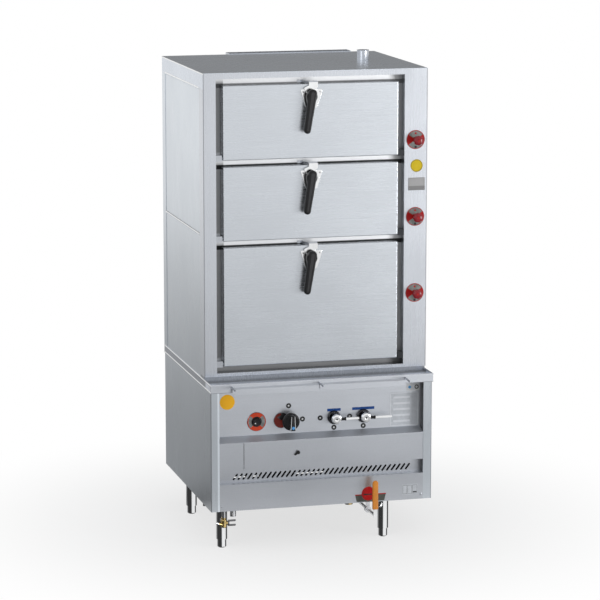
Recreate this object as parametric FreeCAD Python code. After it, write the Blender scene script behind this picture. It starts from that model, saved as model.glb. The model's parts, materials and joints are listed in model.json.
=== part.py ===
"""Three-deck gas steamer: a steam cabinet with three drop-down doors on a burner base.

Millimetres. X runs to the right, Y to the back and Z up from the floor. The shapes are built
with Y = 0 at the front of the drip tray, and move_to_origin sets them on the object's own frame,
whose origin is the middle of its footprint.
"""
import FreeCAD
import Part
import math
import os

V = FreeCAD.Vector

# Overall sizes
cabinet_width = 900.0
cabinet_depth = 850.0
leg_height = 156.0
base_height = 474.0
tray_height = 34.0
shadow_gap = 10.0
upper_height = 1186.0
sheet = 1.5
running_clearance = 0.05
moving_gap = 0.3

# Upper cabinet front
upper_setback = 103.0
left_stile = 50.0
right_stile = 93.0
top_rail = 23.0
bottom_rail = 13.0
plinth_setback = 12.0
seal_frame_lap = 12.0

# Upper cabinet skins
front_post = 71.0
rear_post = 56.0
roof_skirt = 61.0
mid_seam_height = 565.0
seam_bead = 7.0
panel_lap = 6.0

# Doors
door_gap = 27.0
small_door_height = 288.0
door_thickness = 40.0
door_proud = 4.0
door_edge_radius = 3.0
inner_pan_inset = 34.0
inner_pan_depth = 2.0
gasket_depth = 3.7
gasket_inset = 12.0
pivot_rise = 8.0
hinge_pin_radius = 5.0
hinge_pin_end_gap = 8.0
hinge_bracket_height = 24.0
hinge_bracket_reach = 38.0
hinge_bracket_gap = 3.0

# Decks
deck_overlap = 26.0
deck_rear_gap = 95.0
runner_width = 14.0
runner_height = 60.0
runner_clearance = 12.0
racks_per_deck = (1, 1, 2)
rack_bar = 10.0
rack_slat = 8.0
rack_slat_thickness = 3.0
rack_slats = 15
rack_side_clearance = 4.0
rack_front_clearance = 24.0
spreader_radius = 11.0
spreader_reach = 3.0
insulation_gap = 2.0

# Latches
latch_drop = 35.0
latch_shift = -3.0
latch_plate_top = 92.0
latch_plate_bottom = 44.0
latch_plate_rise = 15.0
latch_plate_height = 74.0
latch_plate_thickness = 4.0
lever_length = 143.0
lever_top_radius = 17.0
lever_bottom_radius = 13.0
lever_thickness = 20.0
lever_proud = 43.0
lever_tilt = 8.5
neck_width = 44.0
neck_start = 12.0
neck_end = 42.0
neck_end_width = 26.0
tongue_thickness = 8.0
tongue_tip_width = 36.0
tongue_tip_rise = 8.0
tongue_tip_height = 20.0
tongue_offset = 8.5
tongue_hub_radius = 17.0
tongue_heel_reach = 29.0
tongue_heel_rise = 19.0
shaft_radius = 6.0
keeper_rise = 2.5
keeper_clearance = 3.0
keeper_plate_width = 22.0

# Steam valves behind the right stile, their heights as shares of each deck
dial_shift = -1.5
valve_levels = (0.136, 0.182, 0.56)
dial_radius = 37.5
dial_thickness = 2.0
steam_knob_radius = 19.0
steam_knob_depth = 24.0
steam_knob_proud = 49.0
steam_stem_radius = 5.0
steam_body_radius = 18.0
steam_body_length = 62.0
steam_body_gap = 14.0
riser_radius = 17.0
take_off_drop = 40.0

# Bare plate and spot on the right stile, placed between the two upper dials
data_plate_width = 68.0
data_plate_height = 50.0
data_plate_share = 0.424
spot_radius = 25.0
spot_share = 0.661
plate_shift = 5.0
label_thickness = 0.8

# Roof vent and flue
vent_radius = 23.5
vent_wall = 1.5
vent_height = 38.0
vent_rim = 3.0
vent_from_right = 147.0
vent_from_back = 342.0
vent_flange = 12.0
flue_from_left = 282.0
flue_from_right = 100.0
flue_depth = 65.0
flue_rise = 3.0
flue_bottom = 84.0
flue_window_low = 150.0
flue_window_high = 240.0
flue_window_inset = 40.0

# Drip tray
gutter_depth = 12.0
tray_rim = 2.0
tray_lip = 10.0
tray_slope = 10.0
tray_cut_front = 38.0
tray_cut_side = 20.0
strip_inset = 99.5
strip_shift = -16.5
strip_thickness = 2.0
strip_proud = 9.0
strip_drop = 8.0
hook_thickness = 3.0
hook_reach = 70.0
hook_height = 7.0
hook_drop = 3.0
hook_rise = 19.0

# Base front, heights above the bottom of the base
base_setback = 9.0
base_inset = 2.0
base_post = 34.0
panel_recess = 48.0
control_bottom = 286.0
sill_drop = 17.0
cover_setback = 2.0
cover_bottom = 162.0
cover_seam_inset = 98.0
cover_seam = 2.0
vent_recess = 35.0
vent_strip_lap = 12.0
lower_panel_height = 106.0
slot_left_inset = 71.0
slot_right_inset = 54.0
slot_pitch = 19.53
slot_width = 7.5
slot_length = 26.0
slot_lean = 14.0
slot_rise = 21.0
catch_share = -0.238
catch_rise = 220.0
catch_radius = 7.0
catch_length = 15.0
catch_width = 7.0
catch_stem_radius = 2.5

# Controls on the recessed panel, placed by their share of its half width
control_rise = 341.0
igniter_share = -0.614
gas_share = -0.3
tap_shares = (0.145, 0.435)
igniter_bezel_radius = 38.0
igniter_radius = 17.0
igniter_proud = 14.0
igniter_travel = 5.0
igniter_guide = 40.0
bezel_thickness = 3.0
gas_plate_radius = 31.0
gas_plate_shift = 30.0
knob_radius = 35.0
knob_proud = 75.0
knob_skirt = 16.0
knob_grip_depth = 30.0
knob_hub_radius = 14.0
knob_hub_gap = 7.0
knob_grip_width = 15.0
spindle_radius = 4.0
mark_radius = 10.0
mark_hole = 4.0
mark_reach = 56.0
mark_drop = 41.0
tap_collar_radius = 27.0
tap_collar_depth = 12.0
tap_neck_radius = 11.0
tap_neck_depth = 40.0
tap_proud = 47.0
tap_disc_radius = 19.0
tap_disc_depth = 12.0
tap_sleeve_length = 22.0
tap_sleeve_width = 15.0
tap_lever_gap = 9.0
tap_lever_width = 9.0
tap_lever_thickness = 4.0
disc_inset = 43.0
disc_drop = 49.0
disc_radius = 30.0
strip_rise = 29.0
strip_height = 12.0
strip_widths = (55.0, 91.0)
cock_radius = 20.0
cock_length = 52.0

# Bare plates on the base: distances of their sides from the right post, then of their edges below the tray
sheet_label = (124.0, 6.0, 184.0, 48.0)
small_labels = ((56.0, 30.0, 44.0, 14.0), (26.0, 3.0, 44.0, 14.0))
low_label = (86.0, 22.0, 20.0, 62.0)

# Boiling tank and burners
tank_left_gap = 88.0
tank_right_gap = 118.0
tank_front_gap = 93.0
tank_rear_gap = 80.0
tank_bottom = 264.0
tank_top_gap = 14.5
tank_sheet = 2.0
tank_leg = 30.0
burner_radius = 32.0
burner_front_gap = 80.0
burner_length = 420.0
burner_rise = 174.0
burner_first_share = -0.58
burner_spacing_share = 0.43
manifold_radius = 13.0
gas_pipe_radius = 9.0
floor_slot_length = 150.0
floor_slot_width = 24.0
inlet_radius = 13.35
inlet_wall = 2.6
water_radius = 10.65
water_wall = 2.3
inlet_reach = 32.0
inlet_step = 1.0
inlet_nut_lip = 5.0
inlet_nut_depth = 8.0
inlet_neck = 2.0
inlet_rise = 84.0
gas_inlet_inset = 148.0
water_inlet_inset = 200.0

# Drain lever, heights below the bottom of the base
drain_from_leg = 62.0
drain_drop = 44.0
drain_rod_radius = 6.0
drain_valve_setback = 195.0
drain_valve_radius = 22.0
drain_valve_length = 70.0
drain_pipe_radius = 17.0
drain_pipe_wall = 2.5
drain_outlet_drop = 48.0
drain_reach = 45.0
drain_handle_width = 24.0
drain_handle_length = 142.0
drain_sleeve_length = 116.0
drain_sleeve_thickness = 10.0
drain_bar_thickness = 4.0
drain_bar_width = 14.0
bush_radius = 13.0
bush_length = 14.0
bush_y = 60.0
band_left = 69.0
band_right = 58.0
band_low = 3.0
band_high = 33.0
band_taper = 11.0
plate_disc_left = 14.0
plate_disc_rise = 35.0
plate_disc_radius = 28.0

# Drain cock at the front left and the stubs under the base
cock_y = 26.0
cock_pipe_radius = 7.5
cock_body_radius = 11.0
cock_body_drop = 36.0
cock_body_height = 32.0
cock_stem_drop = 51.0
cock_stem_radius = 4.0
cock_hub_radius = 7.0
wing_reach = 30.0
wing_offset = 9.0
wing_radius = 3.8
stub_from_leg = 59.0
stub_y = 120.0
stub_radius = 12.0
stub_drop = 50.0
side_stub_inset = 10.0
side_stub_y = 170.0
side_stub_radius = 7.0
side_stub_drop = 14.0

# Legs
leg_left_inset = 56.0
leg_right_inset = 185.0
leg_front_y = 65.0
leg_rear_gap = 245.0
leg_radius = 22.0
leg_wall = 1.5
leg_flange_radius = 30.0
leg_flange_thickness = 3.0
foot_radius = 18.3
foot_height = 34.0
foot_chamfer = 4.0
foot_guide_length = 40.0

# Screws
screw_radius = 4.5
screw_height = 2.2

# Levels and planes worked out from the sizes above
half = cabinet_width / 2
base_z = leg_height
tray_bottom_z = base_z + base_height
tray_top_z = tray_bottom_z + tray_height
tray_floor_z = tray_top_z - gutter_depth
floor_under_tray = tray_floor_z - sheet
frame_bottom_z = tray_top_z + shadow_gap
roof_z = frame_bottom_z + upper_height
skirt_z = roof_z - roof_skirt
seam_z = tray_top_z + mid_seam_height
door_front_y = upper_setback - door_proud
door_back_y = door_front_y + door_thickness
pivot_y = door_front_y + door_thickness / 2
seal_y = door_back_y + gasket_depth + moving_gap
liner_y = seal_y + sheet
liner_back_y = cabinet_depth - deck_rear_gap
y_front = -max(drain_reach, hook_reach)
y_rear = cabinet_depth + flue_depth

# Openings, doors and decks
open_left = -half + left_stile
open_right = half - right_stile
open_bottom = frame_bottom_z + bottom_rail
open_top = roof_z - top_rail
door_left = open_left + door_gap
door_right = open_right - door_gap
door_x = (door_left + door_right) / 2
top_1 = open_top - door_gap
top_2 = top_1 - small_door_height - door_gap
top_3 = top_2 - small_door_height - door_gap
door_tops = [top_1, top_2, top_3]
door_bottoms = [top_1 - small_door_height, top_2 - small_door_height, open_bottom + door_gap]
decks = [(low + deck_overlap, high - deck_overlap) for low, high in zip(door_bottoms, door_tops)]
deck_left = door_left + deck_overlap
deck_right = door_right - deck_overlap
names = ("top", "middle", "bottom")

# Latches and keepers
latch_x = door_x + latch_shift
plate_y = door_front_y - latch_plate_thickness
tongue_back_y = plate_y - moving_gap
tongue_front_y = tongue_back_y - tongue_thickness
lever_front_y = door_front_y - lever_proud
door_sweep = math.hypot(door_thickness / 2, pivot_rise) - pivot_rise
keeper_arm_top = door_gap - door_sweep - keeper_clearance
keeper_lip_top = door_gap + pivot_rise - door_thickness / 2 - keeper_clearance

# Steam valves
valve_x = (open_right + half) / 2 + dial_shift
valve_heights = [low + share * (high - low) for (low, high), share in zip(decks, valve_levels)]
spreader_y = seal_y + 26.0
steam_body_y = upper_setback + sheet + steam_body_gap
steam_bore_end_y = steam_body_y + steam_body_length / 2
riser_y = steam_body_y + steam_body_length + riser_radius

# Base planes and places
base_half = half - base_inset
post_inner = base_half - base_post
panel_y = base_setback + panel_recess
cover_y = base_setback + cover_setback
strip_y = base_setback + vent_recess
rear_y = cabinet_depth - tray_rim
control_bottom_z = base_z + control_bottom
control_z = base_z + control_rise
cover_bottom_z = base_z + cover_bottom
lower_panel_top_z = base_z + lower_panel_height
igniter_x = igniter_share * post_inner
gas_x = gas_share * post_inner
tap_x = [share * post_inner for share in tap_shares]
tap_lever_ends = [tap_x[1] - tap_disc_radius - tap_lever_gap, post_inner - sheet_label[0] - tap_lever_gap / 3]
tap_disc_y = panel_y - tap_proud
catch_x = catch_share * post_inner
catch_z = base_z + catch_rise
tank_left = -base_half + tank_left_gap
tank_right = base_half - tank_right_gap
tank_front_y = panel_y + tank_front_gap
tank_back_y = cabinet_depth - tank_rear_gap
tank_bottom_z = base_z + tank_bottom
tank_top_z = floor_under_tray - tank_top_gap
steam_take_off_z = tank_top_z - take_off_drop
manifold_y = panel_y + sheet + cock_length - manifold_radius - 1
burner_y = tank_front_y + burner_front_gap
burner_z = base_z + burner_rise
inlet_z = base_z + inlet_rise
gas_inlet_x = -half + gas_inlet_inset
water_inlet_x = -half + water_inlet_inset
flue_left = -half + flue_from_left
flue_right = half - flue_from_right
vent_x = half - vent_from_right
vent_y = cabinet_depth - vent_from_back

# Underside places
leg_left_x = -half + leg_left_inset
leg_right_x = half - leg_right_inset
leg_rear_y = cabinet_depth - leg_rear_gap
drain_x = leg_right_x - drain_from_leg
drain_z = base_z - drain_drop
drain_valve_y = tank_front_y + drain_valve_setback
cock_x = leg_left_x
cock_top_z = base_z - cock_body_drop
cock_low_z = cock_top_z - cock_body_height
cock_stem_z = base_z - cock_stem_drop
stub_x = leg_left_x + stub_from_leg
side_stub_x = -base_half + side_stub_inset
foot_top_z = foot_height + 6.0
foot_guide_top = foot_top_z + foot_guide_length


def box(x0, x1, y0, y1, z0, z1):
    """A block between two corners."""
    return Part.makeBox(x1 - x0, y1 - y0, z1 - z0, V(x0, y0, z0))


def side_box(side, a, b, y0, y1, z0, z1):
    """A block on the left (-1) or right (1), from a to b away from the middle."""
    x0, x1 = sorted((side * a, side * b))
    return box(x0, x1, y0, y1, z0, z1)


def rod(radius, start, end):
    """A round bar from one point to another."""
    way = V(*end) - V(*start)
    return Part.makeCylinder(radius, way.Length, V(*start), way)


def rod_y(radius, x, z, y0, y1):
    """A round bar running from front to back."""
    return rod(radius, (x, y0, z), (x, y1, z))


def pipe(outer, inner, start, end):
    """A round tube from one point to another."""
    return rod(outer, start, end).cut(rod(inner, start, end))


def plate_along(points, axis, low, high):
    """A flat outline pushed along X, Y or Z, its points given in the other two axes in order."""
    place = {
        "x": lambda a, b: V(low, a, b),
        "y": lambda a, b: V(a, low, b),
        "z": lambda a, b: V(a, b, low),
    }[axis]
    push = {"x": V(1, 0, 0), "y": V(0, 1, 0), "z": V(0, 0, 1)}[axis] * (high - low)
    corners = [place(a, b) for a, b in points]
    return Part.Face(Part.makePolygon(corners + corners[:1])).extrude(push)


def stadium_y(x0, z0, r0, x1, z1, r1, y0, y1):
    """A tapered bar with two round ends, lying in the front plane."""
    way = V(x1 - x0, 0, z1 - z0)
    length = way.Length
    lean = math.asin((r0 - r1) / length)
    along = way / length
    side = V(along.z, 0, -along.x)
    ends = []
    for x, z, r in ((x0, z0, r0), (x1, z1, r1)):
        centre = V(x, y0, z)
        offset = along * (r * math.sin(lean))
        out = side * (r * math.cos(lean))
        ends.append((centre + offset + out, centre + offset - out, centre, r))
    first, last = ends
    edges = [
        Part.LineSegment(first[0], last[0]).toShape(),
        Part.Arc(last[0], last[2] + along * last[3], last[1]).toShape(),
        Part.LineSegment(last[1], first[1]).toShape(),
        Part.Arc(first[1], first[2] - along * first[3], first[0]).toShape(),
    ]
    return Part.Face(Part.Wire(edges)).extrude(V(0, y1 - y0, 0))


def join(*shapes):
    """One solid from touching or crossing shapes."""
    return shapes[0].multiFuse(list(shapes[1:])).removeSplitter()


def group(shapes):
    """Separate solids kept under one name."""
    return Part.makeCompound(list(shapes))


def rounded(shape, radius, chosen):
    """Fillets the edges for which chosen(edge) holds."""
    return shape.makeFillet(radius, [edge for edge in shape.Edges if chosen(edge)])


def round_front(shape, radius, y):
    """Fillets the edges that lie in the plane at y."""
    def on_plane(edge):
        return abs(edge.BoundBox.YMin - y) < 0.01 and abs(edge.BoundBox.YMax - y) < 0.01

    return rounded(shape, radius, on_plane)


def runs_along(edge, axis):
    """Whether a straight edge lies along X, Y or Z."""
    if not isinstance(edge.Curve, Part.Line):
        return False
    way = edge.Vertexes[-1].Point - edge.Vertexes[0].Point
    return abs(abs(getattr(way, axis)) - way.Length) < 1e-6


def flat_ring(outer, hole, y0, y1):
    """A plate in the front plane with one hole, both given as left, right, low and high."""
    return box(outer[0], outer[1], y0, y1, outer[2], outer[3]).cut(
        box(hole[0], hole[1], y0 - 1, y1 + 1, hole[2], hole[3]))


# Upper cabinet

def face_frame():
    """Front stiles and rails with turned-in reveals, the side turns of the front posts and the plinth."""
    y0 = upper_setback
    y1 = y0 + plinth_setback
    opening = (open_left, open_right, open_bottom, open_top)
    plate = flat_ring((-half, half, frame_bottom_z, roof_z - sheet), opening, y0, y0 + sheet)
    around = (open_left - sheet, open_right + sheet, open_bottom - sheet, open_top + sheet)
    reveal = flat_ring(around, opening, y0, seal_y)
    under = box(-half, half, y0, y1 + sheet, frame_bottom_z, frame_bottom_z + sheet)
    plinth = box(-half + tray_rim, half - tray_rim, y1, y1 + sheet, tray_floor_z, frame_bottom_z + sheet)
    frame = join(plate, reveal, under, plinth)
    for side in (-1, 1):
        turn = side_box(side, half - sheet, half, y0, y0 + front_post, frame_bottom_z, skirt_z)
        foot = side_box(side, half - sheet, half, y1, y0 + front_post, tray_top_z, frame_bottom_z + sheet)
        frame = join(frame, turn, foot)
    for height in valve_heights:
        frame = frame.cut(rod_y(steam_stem_radius + 1, valve_x, height, y0 - 1, y0 + sheet + 1))
    return frame


def sealing_frame():
    """The set-back frame with its two crossbars, on which the door gaskets close."""
    lap = seal_frame_lap
    plate = box(open_left - lap, open_right + lap, seal_y, liner_y, open_bottom - lap, open_top + lap)
    for low, high in decks:
        plate = plate.cut(box(deck_left, deck_right, seal_y - 1, liner_y + 1, low, high))
    return plate


def side_panels(side):
    """The two inset skins of one side, each with a rolled bead along its top edge."""
    face = half - sheet
    y0 = upper_setback + front_post
    y1 = cabinet_depth - rear_post
    panels = []
    for low, high in ((tray_top_z, seam_z), (seam_z, skirt_z)):
        outline = [
            (face - sheet, low), (face, low), (face, high - seam_bead),
            (half, high - seam_bead + sheet), (half, high - 2 * sheet), (face, high), (face - sheet, high),
        ]
        middle = plate_along([(side * x, z) for x, z in outline], "y", y0, y1)
        lap = side_box(side, face, face - sheet, y0 - panel_lap, y1 + panel_lap, low, high)
        panels.append(join(middle, lap))
    return group(panels)


def rear_skins():
    """Rear skin of the cabinet with its turned posts, and the rear skin of the base with its holes."""
    upper = box(-half, half, cabinet_depth - sheet, cabinet_depth, tray_top_z, roof_z - sheet)
    for side in (-1, 1):
        y0, y1 = cabinet_depth - rear_post, cabinet_depth
        upper = join(upper, side_box(side, half, half - sheet, y0, y1, tray_top_z, skirt_z))
    lower = box(-base_half + sheet, base_half - sheet, rear_y - sheet, rear_y, base_z, floor_under_tray)
    for x, radius in ((gas_inlet_x, inlet_radius), (water_inlet_x, water_radius)):
        lower = lower.cut(rod_y(radius - inlet_step, x, inlet_z, rear_y - 9, rear_y + 9))
    return group([upper, lower.cut(flue_window())])


def inlet_end(x, radius, wall, start_y):
    """Last run of a supply pipe with the nut on the rear skin and the stub that takes the hose."""
    end = cabinet_depth + inlet_reach
    nut_end = rear_y + inlet_nut_depth
    run = rod_y(radius - inlet_step, x, inlet_z, start_y, end - 1)
    nut = rod_y(radius + inlet_nut_lip, x, inlet_z, rear_y, nut_end)
    stub = rod_y(radius, x, inlet_z, nut_end + inlet_neck, end)
    return join(run, nut, stub).cut(rod_y(radius - wall, x, inlet_z, end - 40, end + 1))


def flue_window():
    """The way from the burner chamber into the flue."""
    return box(flue_left + flue_window_inset, flue_right - flue_window_inset, rear_y - 9, cabinet_depth + 9,
               base_z + flue_window_low, base_z + flue_window_high)


def roof_panel():
    """Top sheet with a skirt down each side and the hole of the vent pipe."""
    plate = box(-half, half, upper_setback, cabinet_depth, roof_z - sheet, roof_z)
    for side in (-1, 1):
        y0, y1 = upper_setback + sheet, cabinet_depth - sheet
        plate = join(plate, side_box(side, half, half - sheet, y0, y1, skirt_z, roof_z))
    return plate.cut(rod(vent_radius, (vent_x, vent_y, roof_z - 9), (vent_x, vent_y, roof_z + 9)))


def rack_levels(index):
    """Heights of the runners in one deck: a pair over the steam branch, and a second near the floor."""
    levels = [valve_heights[index] + spreader_radius + runner_clearance, decks[index][0] + runner_height]
    return levels[:racks_per_deck[index]]


def deck_liner(index):
    """The five-walled steam chamber of one deck with the runners for its racks."""
    low, high = decks[index]
    shell = box(deck_left - sheet, deck_right + sheet, liner_y, liner_back_y, low - sheet, high + sheet)
    shell = shell.cut(box(deck_left, deck_right, liner_y - 1, liner_back_y - sheet, low, high))
    front = liner_y + rack_front_clearance
    for level in rack_levels(index):
        for x0 in (deck_left, deck_right - runner_width):
            shell = join(shell, box(x0, x0 + runner_width, front, liner_back_y - sheet, level - sheet, level))
    height = valve_heights[index]
    hole = spreader_radius + running_clearance
    return shell.cut(rod(hole, (deck_right - 5, spreader_y, height), (deck_right + 9, spreader_y, height)))


def deck_racks():
    """Slatted shelves resting on the runners."""
    x0 = deck_left + rack_side_clearance
    x1 = deck_right - rack_side_clearance
    y0 = liner_y + rack_front_clearance
    y1 = liner_back_y - sheet - rack_side_clearance
    b = rack_bar
    pitch = (x1 - x0 - 2 * b) / (rack_slats + 1)
    racks = []
    for index in range(len(decks)):
        for level in rack_levels(index):
            top = level + b
            rim = box(x0, x1, y0, y1, level, top).cut(box(x0 + b, x1 - b, y0 + b, y1 - b, level - 1, top + 1))
            slats = []
            for count in range(rack_slats):
                x = x0 + b + pitch * (count + 1) - rack_slat / 2
                slats.append(box(x, x + rack_slat, y0 + b / 2, y1 - b / 2, top - rack_slat_thickness, top))
            racks.append(join(rim, *slats))
    return group(racks)


def insulation():
    """Mineral wool slabs lying against the decks on the left, behind and above."""
    gap = insulation_gap
    low, high = decks[-1][0], decks[0][1]
    front, back = liner_y + gap, liner_back_y
    left = box(-half + 2 * sheet + gap, deck_left - sheet, front, back, low, high)
    rear = box(deck_left, deck_right, back, cabinet_depth - sheet - gap, low, high)
    top = box(deck_left, vent_x - 2 * vent_radius, front, back, high + sheet, roof_z - sheet - gap)
    return group([left, rear, top])


def door_hardware():
    """Six blocks in the door gaps that hold the hinge pins, and the keeper above each door."""
    blocks = []
    inner = door_gap - hinge_bracket_gap
    rise = hinge_bracket_height / 2
    for low in door_bottoms:
        z = low + pivot_rise
        for side, edge in ((-1, open_left), (1, open_right)):
            x0, x1 = sorted((edge, edge - side * inner))
            block = box(x0, x1, seal_y - hinge_bracket_reach, seal_y, z - rise, z + rise)
            bore = rod(hinge_pin_radius + running_clearance, (x0 - 1, pivot_y, z), (x1 + 1, pivot_y, z))
            blocks.append(block.cut(bore))
    return group(blocks + [keeper(high) for high in door_tops])


def keeper(high):
    """A catch bracket above a door, reaching forward from the set-back frame to a lip behind the tongue."""
    front = plate_y + 1.0
    z0, z1 = high + keeper_rise, high + keeper_arm_top
    x0 = latch_x + tongue_offset - tongue_tip_width / 2
    x1 = x0 + tongue_tip_width
    foot_x = x0 - 1.5 * keeper_plate_width
    foot = box(foot_x, foot_x + keeper_plate_width, seal_y - 3, seal_y, z0, z1 + 3)
    start = foot_x + keeper_plate_width / 2
    outline = [(start, seal_y - 1), (start + 5, seal_y - 1), (x0 + 6, front), (x0, front)]
    arm = plate_along(outline, "z", z0, z1)
    lip = box(x0, x1, front, front + 4, z0, high + keeper_lip_top)
    return join(foot, arm, lip)


# Doors

def door_shell(index):
    """Outer pan with rounded front edges and hinge pins, and the inner pan that closes it."""
    low, high = door_bottoms[index], door_tops[index]
    left, right = door_left, door_right
    pan = box(left, right, door_front_y, door_back_y, low, high)
    pan = round_front(pan, door_edge_radius, door_front_y)
    x0, x1, z0, z1 = left + sheet, right - sheet, low + sheet, high - sheet
    pan = pan.cut(box(x0, x1, door_front_y + sheet, door_back_y + 1, z0, z1))
    lid = box(x0, x1, door_back_y - sheet, door_back_y, z0, z1)
    inset = inner_pan_inset
    field = box(left + inset, right - inset, door_back_y, door_back_y + inner_pan_depth,
                low + inset, high - inset)
    outer_edges = [edge for edge in field.Edges if edge.BoundBox.YMin > door_back_y + 1]
    field = field.makeChamfer(inner_pan_depth - 0.4, outer_edges)
    z = low + pivot_rise
    reach = door_gap - hinge_pin_end_gap
    pins = [rod(hinge_pin_radius, (left + sheet, pivot_y, z), (left - reach, pivot_y, z)),
            rod(hinge_pin_radius, (right - sheet, pivot_y, z), (right + reach, pivot_y, z))]
    return group([join(pan, *pins), join(lid, field)])


def door_gasket(index):
    """Ring seal on the back of a door."""
    left, right = door_left + gasket_inset, door_right - gasket_inset
    low, high = door_bottoms[index] + gasket_inset, door_tops[index] - gasket_inset
    hole = (deck_left, deck_right, decks[index][0], decks[index][1])
    return flat_ring((left, right, low, high), hole, door_back_y, door_back_y + gasket_depth)


def latch_plate(index):
    """Shield-shaped base of a latch on the face of a door."""
    top = door_tops[index] - latch_drop + latch_plate_rise
    bottom = top - latch_plate_height
    wide, narrow = latch_plate_top / 2, latch_plate_bottom / 2
    outline = [(door_x - wide, top), (door_x + wide, top), (door_x + narrow, bottom),
               (door_x - narrow, bottom)]
    plate = plate_along(outline, "y", plate_y, door_front_y)
    plate = rounded(plate, 6.0, lambda edge: runs_along(edge, "y"))
    plate = round_front(plate, 1.2, plate_y)
    z = door_tops[index] - latch_drop
    return plate.cut(rod_y(shaft_radius + running_clearance, latch_x, z, plate_y - 1, door_front_y + 1))


def latch_tongue(index):
    """Cam and shaft of a latch: the tongue reaches up in front of the keeper."""
    z = door_tops[index] - latch_drop
    top = door_tops[index] + tongue_tip_rise
    x = latch_x + tongue_offset
    wide, hub = tongue_tip_width / 2, tongue_hub_radius
    tip_low = top - tongue_tip_height
    heel_x, heel_z = latch_x - tongue_heel_reach, z + tongue_heel_rise
    outline = [
        (latch_x - hub, z), (latch_x - hub - 1, z + 5), (heel_x, heel_z), (heel_x + 4, heel_z + 4),
        (x - wide, tip_low + 7), (x - wide, top), (x + wide, top), (x + wide, tip_low),
        (latch_x + hub, tip_low - 6), (latch_x + hub, z),
    ]
    tongue = plate_along(outline, "y", tongue_front_y, tongue_back_y)
    hub = rod_y(hub, latch_x, z, tongue_front_y, tongue_back_y)
    shaft = rod_y(shaft_radius, latch_x, z, tongue_front_y, door_front_y - moving_gap)
    return join(tongue, hub, shaft)


def latch_lever(index):
    """Grip of a latch: a tapered bar with round ends on a shorter neck."""
    z = door_tops[index] - latch_drop
    lean = math.radians(lever_tilt)
    front = lever_front_y
    low_x = latch_x - lever_length * math.sin(lean)
    low_z = z - lever_length * math.cos(lean)
    bar = stadium_y(latch_x, z, lever_top_radius, low_x, low_z, lever_bottom_radius,
                    front, front + lever_thickness)
    bar = round_front(bar, 4.0, front)
    ends = [(latch_x - d * math.sin(lean), z - d * math.cos(lean)) for d in (neck_start, neck_end)]
    neck = stadium_y(*ends[0], neck_width / 2, *ends[1], neck_end_width / 2,
                     front + lever_thickness / 2, tongue_front_y)
    return join(bar, neck)


# Steam side

def steam_pipes():
    """Riser from the tank behind the right stile, with a branch into each deck."""
    z = steam_take_off_z
    riser = rod(riser_radius, (valve_x, riser_y, z), (valve_x, riser_y, valve_heights[0] + riser_radius))
    take_off = rod(riser_radius, (tank_right, riser_y, z), (valve_x, riser_y, z))
    elbow = Part.makeSphere(riser_radius, V(valve_x, riser_y, z))
    pipes = [join(riser, elbow, take_off)]
    for height in valve_heights:
        start = valve_x - steam_body_radius + 4
        end = deck_right - spreader_reach
        pipes.append(rod(spreader_radius, (start, spreader_y, height), (end, spreader_y, height)))
    return group(pipes)


def steam_valve_body(height):
    """Valve body behind a dial, between the stem and the riser."""
    body = rod_y(steam_body_radius, valve_x, height, steam_body_y, riser_y - riser_radius)
    bore = steam_stem_radius + running_clearance
    body = body.cut(rod_y(bore, valve_x, height, steam_body_y - 1, steam_bore_end_y))
    start = valve_x - steam_body_radius + 4
    end = start - 2 * steam_body_radius
    return body.cut(rod(spreader_radius, (start, spreader_y, height), (end, spreader_y, height)))


def steam_knob(index):
    """Round knob with its stem, which passes the stile into the valve body."""
    height = valve_heights[index]
    front = upper_setback - steam_knob_proud
    back = front + steam_knob_depth
    knob = rod_y(steam_knob_radius, valve_x, height, front, back)
    knob = round_front(knob, 7.0, front)
    knob = round_front(knob, 4.0, back)
    stem = rod_y(steam_stem_radius, valve_x, height, front + 9, steam_bore_end_y - 2)
    return join(knob, stem)


def dial_plates():
    """Round plates behind the three steam knobs and the igniter, and one beside the gas spindle."""
    y = upper_setback
    plates = []
    for height in valve_heights:
        disc = rod_y(dial_radius, valve_x, height, y - dial_thickness, y)
        plates.append(disc.cut(rod_y(steam_stem_radius + 1, valve_x, height, y - 9, y + 9)))
    for x, outer, hole_x, hole in ((igniter_x, igniter_bezel_radius, igniter_x, igniter_radius + 0.5),
                                   (gas_x - gas_plate_shift, gas_plate_radius, gas_x, spindle_radius + 1)):
        disc = rod_y(outer, x, control_z, panel_y - bezel_thickness, panel_y)
        plates.append(disc.cut(rod_y(hole, hole_x, control_z, panel_y - 9, panel_y + 9)))
    return group(plates)


def mark_places():
    """Centres of the ring marks that show the turn of the gas knob and of the taps."""
    places = [(gas_x, control_z + mark_reach), (gas_x + mark_reach, control_z)]
    for x in tap_x:
        places.append((x - mark_reach, control_z))
        places.append((x, control_z - mark_drop))
    return places


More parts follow.
